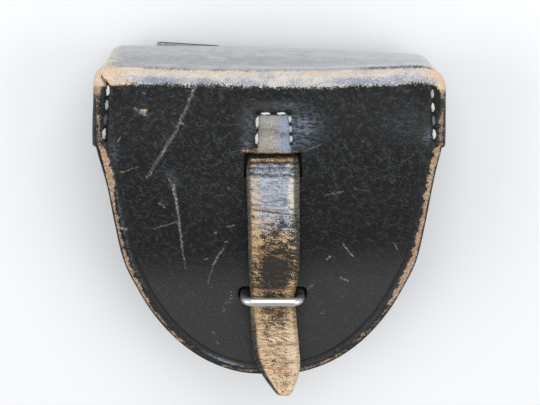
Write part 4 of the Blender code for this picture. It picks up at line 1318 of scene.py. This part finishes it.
# Two belt loops are sewn to the back at both ends, and stand off it between them for the belt.
# The left one leans a little, and its upper end stands above the lid's rear edge.
LOOP_WIDTH = 0.0240
LOOP_ROUND = 0.0008
LOOP_FLAT_HIGH = 0.0420
LOOP_FLAT_LOW = -0.0080
LOOP_RAMP = 0.0060
LOOP_LOW_END = -0.0220
LOOP_STAND = BACK - PLY_GAP - PANEL
LOOPS = (
    ("leather_loop_left", "belt_loop_left", -0.0352, 0.0628, math.radians(-3.6)),
    ("leather_loop_right", "belt_loop_right", 0.0350, 0.0575, 0.0),
)


def lay_on_back(piece, x, turn):
    """Turn a piece that was made face up to face down, at its place on the pouch's back."""
    alone(piece)
    piece.rotation_euler = (0.0, math.pi, turn)
    piece.location = (x, 0.0, 0.0)
    bpy.ops.object.transform_apply(location=True, rotation=True, scale=True)


black, place = new_finish("loop_leather_black")
creases, relief = black.use("leather_grain", {"Place": place, "Size": 800.0}).values()
edge_wear = black.step(black.absolute(black.kept("across")), 0.80, 1.02)
level = black.times(edge_wear, 0.42, 0.16)
worn = black.rubbed(place, level, 260.0, 1.0, 1500.0, 0.08)
flesh_side = black.step(black.kept("depth"), 0.80, 0.90)
tone = black.noise(place, 120.0, 3.0)
colour = black.mix(tone, (0.012, 0.011, 0.011), (0.026, 0.024, 0.022))
colour = black.mix(black.times(creases, 0.6), colour, (0.070, 0.072, 0.068))
colour = black.mix(worn, colour, (0.30, 0.19, 0.11))
nap = black.noise(place, 1500.0, 3.0)
suede = black.mix(black.step(nap, 0.35, 0.65), (0.22, 0.23, 0.26), (0.46, 0.44, 0.42))
colour = black.mix(flesh_side, colour, suede)
black.finish(
    Base_Color=colour,
    Roughness=black.times(flesh_side, 0.35, black.times(tone, 0.20, 0.34)),
    Height=(relief, 0.00012),
)

for name, node, x, high_end, turn in LOOPS:
    rows = []
    for y in np.linspace(high_end, LOOP_LOW_END, 120):
        lift = rise(y, LOOP_FLAT_HIGH, LOOP_FLAT_HIGH + LOOP_RAMP)
        lift += rise(-y, -LOOP_FLAT_LOW, LOOP_RAMP - LOOP_FLAT_LOW)
        rows.append((y, -LOOP_STAND * float(lift), -LOOP_WIDTH / 2, LOOP_WIDTH / 2))
    loop = strip(name, rows, PANEL, LOOP_ROUND, 0.0013, 16)
    lay_on_back(loop, x, turn)
    dress(loop, "loop_leather_black", "loop_leather", node)


# All seams are hand sewn with grey waxed linen thread: four long stitches beside each front
# corner, three sides round the strap's end, the body's two edges and the ends of the loops.
CORNER_STITCH_LEFT = (0.00135, 0.0011, 0.0006)      # width, height and how far both ends dive
CORNER_STITCH_RIGHT = (0.0013, 0.0010, 0.0006)
STRAP_STITCH = (0.00115, 0.0010, 0.0005)
BODY_STITCH = (0.0010, 0.0008, 0.0004)
HOLE_SHARE = 0.07       # a stitch starts and stops this share of its run beside its holes
UP, DOWN = (0, 0, 1), (0, 0, -1)


def make_stitch(rings, segments, plies):
    """One stitch, a grain-shaped bit of twisted thread along X that is 1 long, its ends bent down."""
    bpy.ops.object.select_all(action="DESELECT")
    bpy.ops.mesh.primitive_uv_sphere_add(
        segments=segments, ring_count=rings, radius=0.5, rotation=(0.0, math.pi / 2, 0.0)
    )
    stitch = bpy.context.object
    bpy.ops.object.transform_apply(location=True, rotation=True, scale=True)
    x, y, z = points_of(stitch).T.copy()
    angle = np.arctan2(z, y)
    twist = 1 + plies * 0.14 * np.cos(2 * (angle - 2.2 * math.pi * x))
    round_end = 1 - (2 * x) ** 2
    fuller = np.maximum(0.0, round_end) ** 0.30 / np.sqrt(np.maximum(1e-8, round_end))
    put_points(stitch, np.column_stack([x, y * twist * fuller, z * twist * fuller]))
    return stitch


def sew(name, stitch, runs, tones, size, up):
    """Copy the stitch along each run from hole to hole and join the copies into one piece.

    The tones, from dark to bright, are dealt out to the stitches one after another."""
    width, high, dive = size
    copies = []
    for number, (start, stop) in enumerate(runs):
        start, stop = Vector(start), Vector(stop)
        start, stop = start.lerp(stop, HOLE_SHARE), stop.lerp(start, HOLE_SHARE)
        run = stop - start
        copy = bpy.data.objects.new(name, stitch.data.copy())
        bpy.context.scene.collection.objects.link(copy)
        store_values(copy, "tone", np.full(len(copy.data.vertices), tones[number % len(tones)]))
        places = points_of(copy)
        store_values(copy, "along", places[:, 0])
        places[:, 2] = places[:, 2] * high - dive * (2 * places[:, 0]) ** 2
        places[:, 0] *= run.length
        places[:, 1] *= width
        put_points(copy, places)
        side = Vector(up).cross(run).normalized()
        turn = Matrix((run.normalized(), side, run.normalized().cross(side))).transposed().to_4x4()
        copy.data.transform(Matrix.Translation((start + stop) / 2) @ turn)
        copies.append(copy)
    bpy.ops.object.select_all(action="DESELECT")
    for copy in copies:
        copy.select_set(True)
    bpy.context.view_layer.objects.active = copies[0]
    bpy.ops.object.join()
    piece = copies[0]
    piece.name = name
    dress(piece, "linen_thread", None)


def hole_row(first, last, count):
    """Runs between evenly spaced holes on the flap's outer face."""
    holes = []
    for step in range(count + 1):
        x, y = [a + (b - a) * step / count for a, b in zip(first, last)]
        rim = edge_distance(np.array([[x, y, 0.0]]))
        height = FRONT + crown(x, y) + flap_relief(x, y, rim[0])
        new_x = x - flare(x, y) - x / HALF_WIDTH * TOP_NARROWING * rise(y, EAR_END, LID_TOP)
        holes.append((new_x, y, float(height)))
    return list(zip(holes, holes[1:]))


linen, place = new_finish("linen_thread")
fibre = linen.noise(place, 3600.0, 3.0)
tone_share = linen.step(linen.times(linen.noise(place, 1400.0, 2.0), 0.5, linen.kept("tone")), 0.30, 1.05)
colour = linen.mix(tone_share, (0.040, 0.046, 0.062), (0.66, 0.67, 0.65))
ends = linen.step(linen.absolute(linen.kept("along")), 0.36, 0.50)
colour = linen.mix(linen.times(ends, 0.75), colour, (0.030, 0.030, 0.032))
colour = linen.mix(linen.fall(fibre, 0.36, 0.46), colour, linen.mix(0.6, colour, (0.05, 0.05, 0.05)))
linen.finish(Base_Color=colour, Roughness=0.62, Height=(fibre, 0.00018))

fine_stitch = make_stitch(22, 16, 1)
corner_runs = hole_row((-0.0577, 0.0576), (-0.0592, 0.0366), 4)
sew("thread_corner_left", fine_stitch, corner_runs, (0.85, 0.42, 0.12, 0.55), CORNER_STITCH_LEFT, UP)
corner_runs = hole_row((0.0582, 0.0563), (0.0592, 0.0366), 4)
sew("thread_corner_right", fine_stitch, corner_runs, (0.50, 0.78, 0.22, 0.80), CORNER_STITCH_RIGHT, UP)
strap_runs = hole_row((-0.0043, 0.0477), (0.0068, 0.0478), 2)
strap_runs += hole_row((-0.0044, 0.0475), (-0.0048, 0.0355), 2)
strap_runs += hole_row((0.0070, 0.0475), (0.0076, 0.0366), 3)
strap_tones = (0.85, 0.90, 0.78, 0.92, 0.60, 0.50, 0.62)
sew("thread_strap_end", fine_stitch, strap_runs, strap_tones, STRAP_STITCH, UP)
bpy.data.objects.remove(fine_stitch)

# Short stitches all round the U hold the back and the front panel to the gusset's turned edges
short_stitch = make_stitch(6, 8, 0)
seam_holes = body_line(0.0022, 0.0052)
for name, height, up in (
    ("thread_back_seam", BACK, DOWN),
    ("thread_gusset_back", GUSSET_BACK + PANEL, UP),
    ("thread_gusset_front", GUSSET_FRONT - PANEL, DOWN),
):
    holes = [(float(x), float(y), height) for x, y in seam_holes]
    sew(name, short_stitch, list(zip(holes, holes[1:])), (0.62, 0.35, 0.50), BODY_STITCH, up)

# Each loop is sewn down across both of its ends and a little way up its sides
LOOP_SEAM = 0.0095
END_MARGIN = 0.0030
SIDE_STITCH = 0.0045
for name, node, x, high_end, turn in LOOPS:
    runs = []
    for row, inwards in ((high_end - END_MARGIN, -SIDE_STITCH), (LOOP_LOW_END + END_MARGIN, SIDE_STITCH)):
        holes = [(-LOOP_SEAM, row + inwards)]
        holes += [(across, row) for across in np.linspace(-LOOP_SEAM, LOOP_SEAM, 5)]
        holes += [(LOOP_SEAM, row + inwards)]
        cosine, sine = math.cos(turn), math.sin(turn)
        turned = [(x + a * cosine - b * sine, a * sine + b * cosine, LOOP_STAND) for a, b in holes]
        runs += list(zip(turned, turned[1:]))
    sew(name.replace("leather", "thread"), short_stitch, runs, (0.62, 0.45), BODY_STITCH, DOWN)
bpy.data.objects.remove(short_stitch)


# The pouch lies on a plain pale floor, under one wide window of cool light behind its lid and
# two soft lamps. The camera stands behind the lid too, about 70 degrees above the floor.
bpy.context.scene.view_settings.view_transform = "Standard"
bpy.ops.object.select_all(action="DESELECT")
bpy.ops.mesh.primitive_plane_add(size=3.0, location=(0.0, 0.0, -0.0001))
floor = bpy.context.object
floor.name = "floor"
floor_paint = bpy.data.materials.new("floor")
floor_paint.use_nodes = True
floor_paint.node_tree.nodes["Principled BSDF"].inputs["Base Color"].default_value = (0.90, 0.90, 0.89, 1)
floor.data.materials.append(floor_paint)

camera_data = bpy.data.cameras.new("camera")
camera_data.lens = 83.8
camera_data.sensor_width = 36.0
camera = bpy.data.objects.new("camera", camera_data)
camera.location = (0.0, 0.17033, 0.48006)
camera.rotation_euler = (math.radians(-20), 0.0, 0.0)
bpy.context.scene.collection.objects.link(camera)
bpy.context.scene.camera = camera

LAMP_SIZE = 0.9
LAMP_AIM = Vector((0.0, 0.0, 0.03))
for name, place, power, tint in (
    ("window", (0.10, 0.68, 0.98), 8.8, (0.93, 0.965, 1.0)),
    ("lamp_left", (-1.0, 0.0, 0.80), 4.8, (1.0, 0.985, 0.96)),
    ("lamp_right", (1.0, -0.1, 0.85), 4.2, (1.0, 0.985, 0.96)),
):
    lamp_data = bpy.data.lights.new(name, "AREA")
    lamp_data.size = LAMP_SIZE
    lamp_data.energy = power
    lamp_data.color = tint
    lamp = bpy.data.objects.new(name, lamp_data)
    lamp.location = place
    lamp.rotation_euler = (Vector(place) - LAMP_AIM).to_track_quat("Z", "Y").to_euler()
    bpy.context.scene.collection.objects.link(lamp)
world = bpy.data.worlds.new("studio")
world.use_nodes = True
world.node_tree.nodes["Background"].inputs["Color"].default_value = (0.9, 0.93, 1.0, 1.0)
world.node_tree.nodes["Background"].inputs["Strength"].default_value = 0.47
bpy.context.scene.world = world
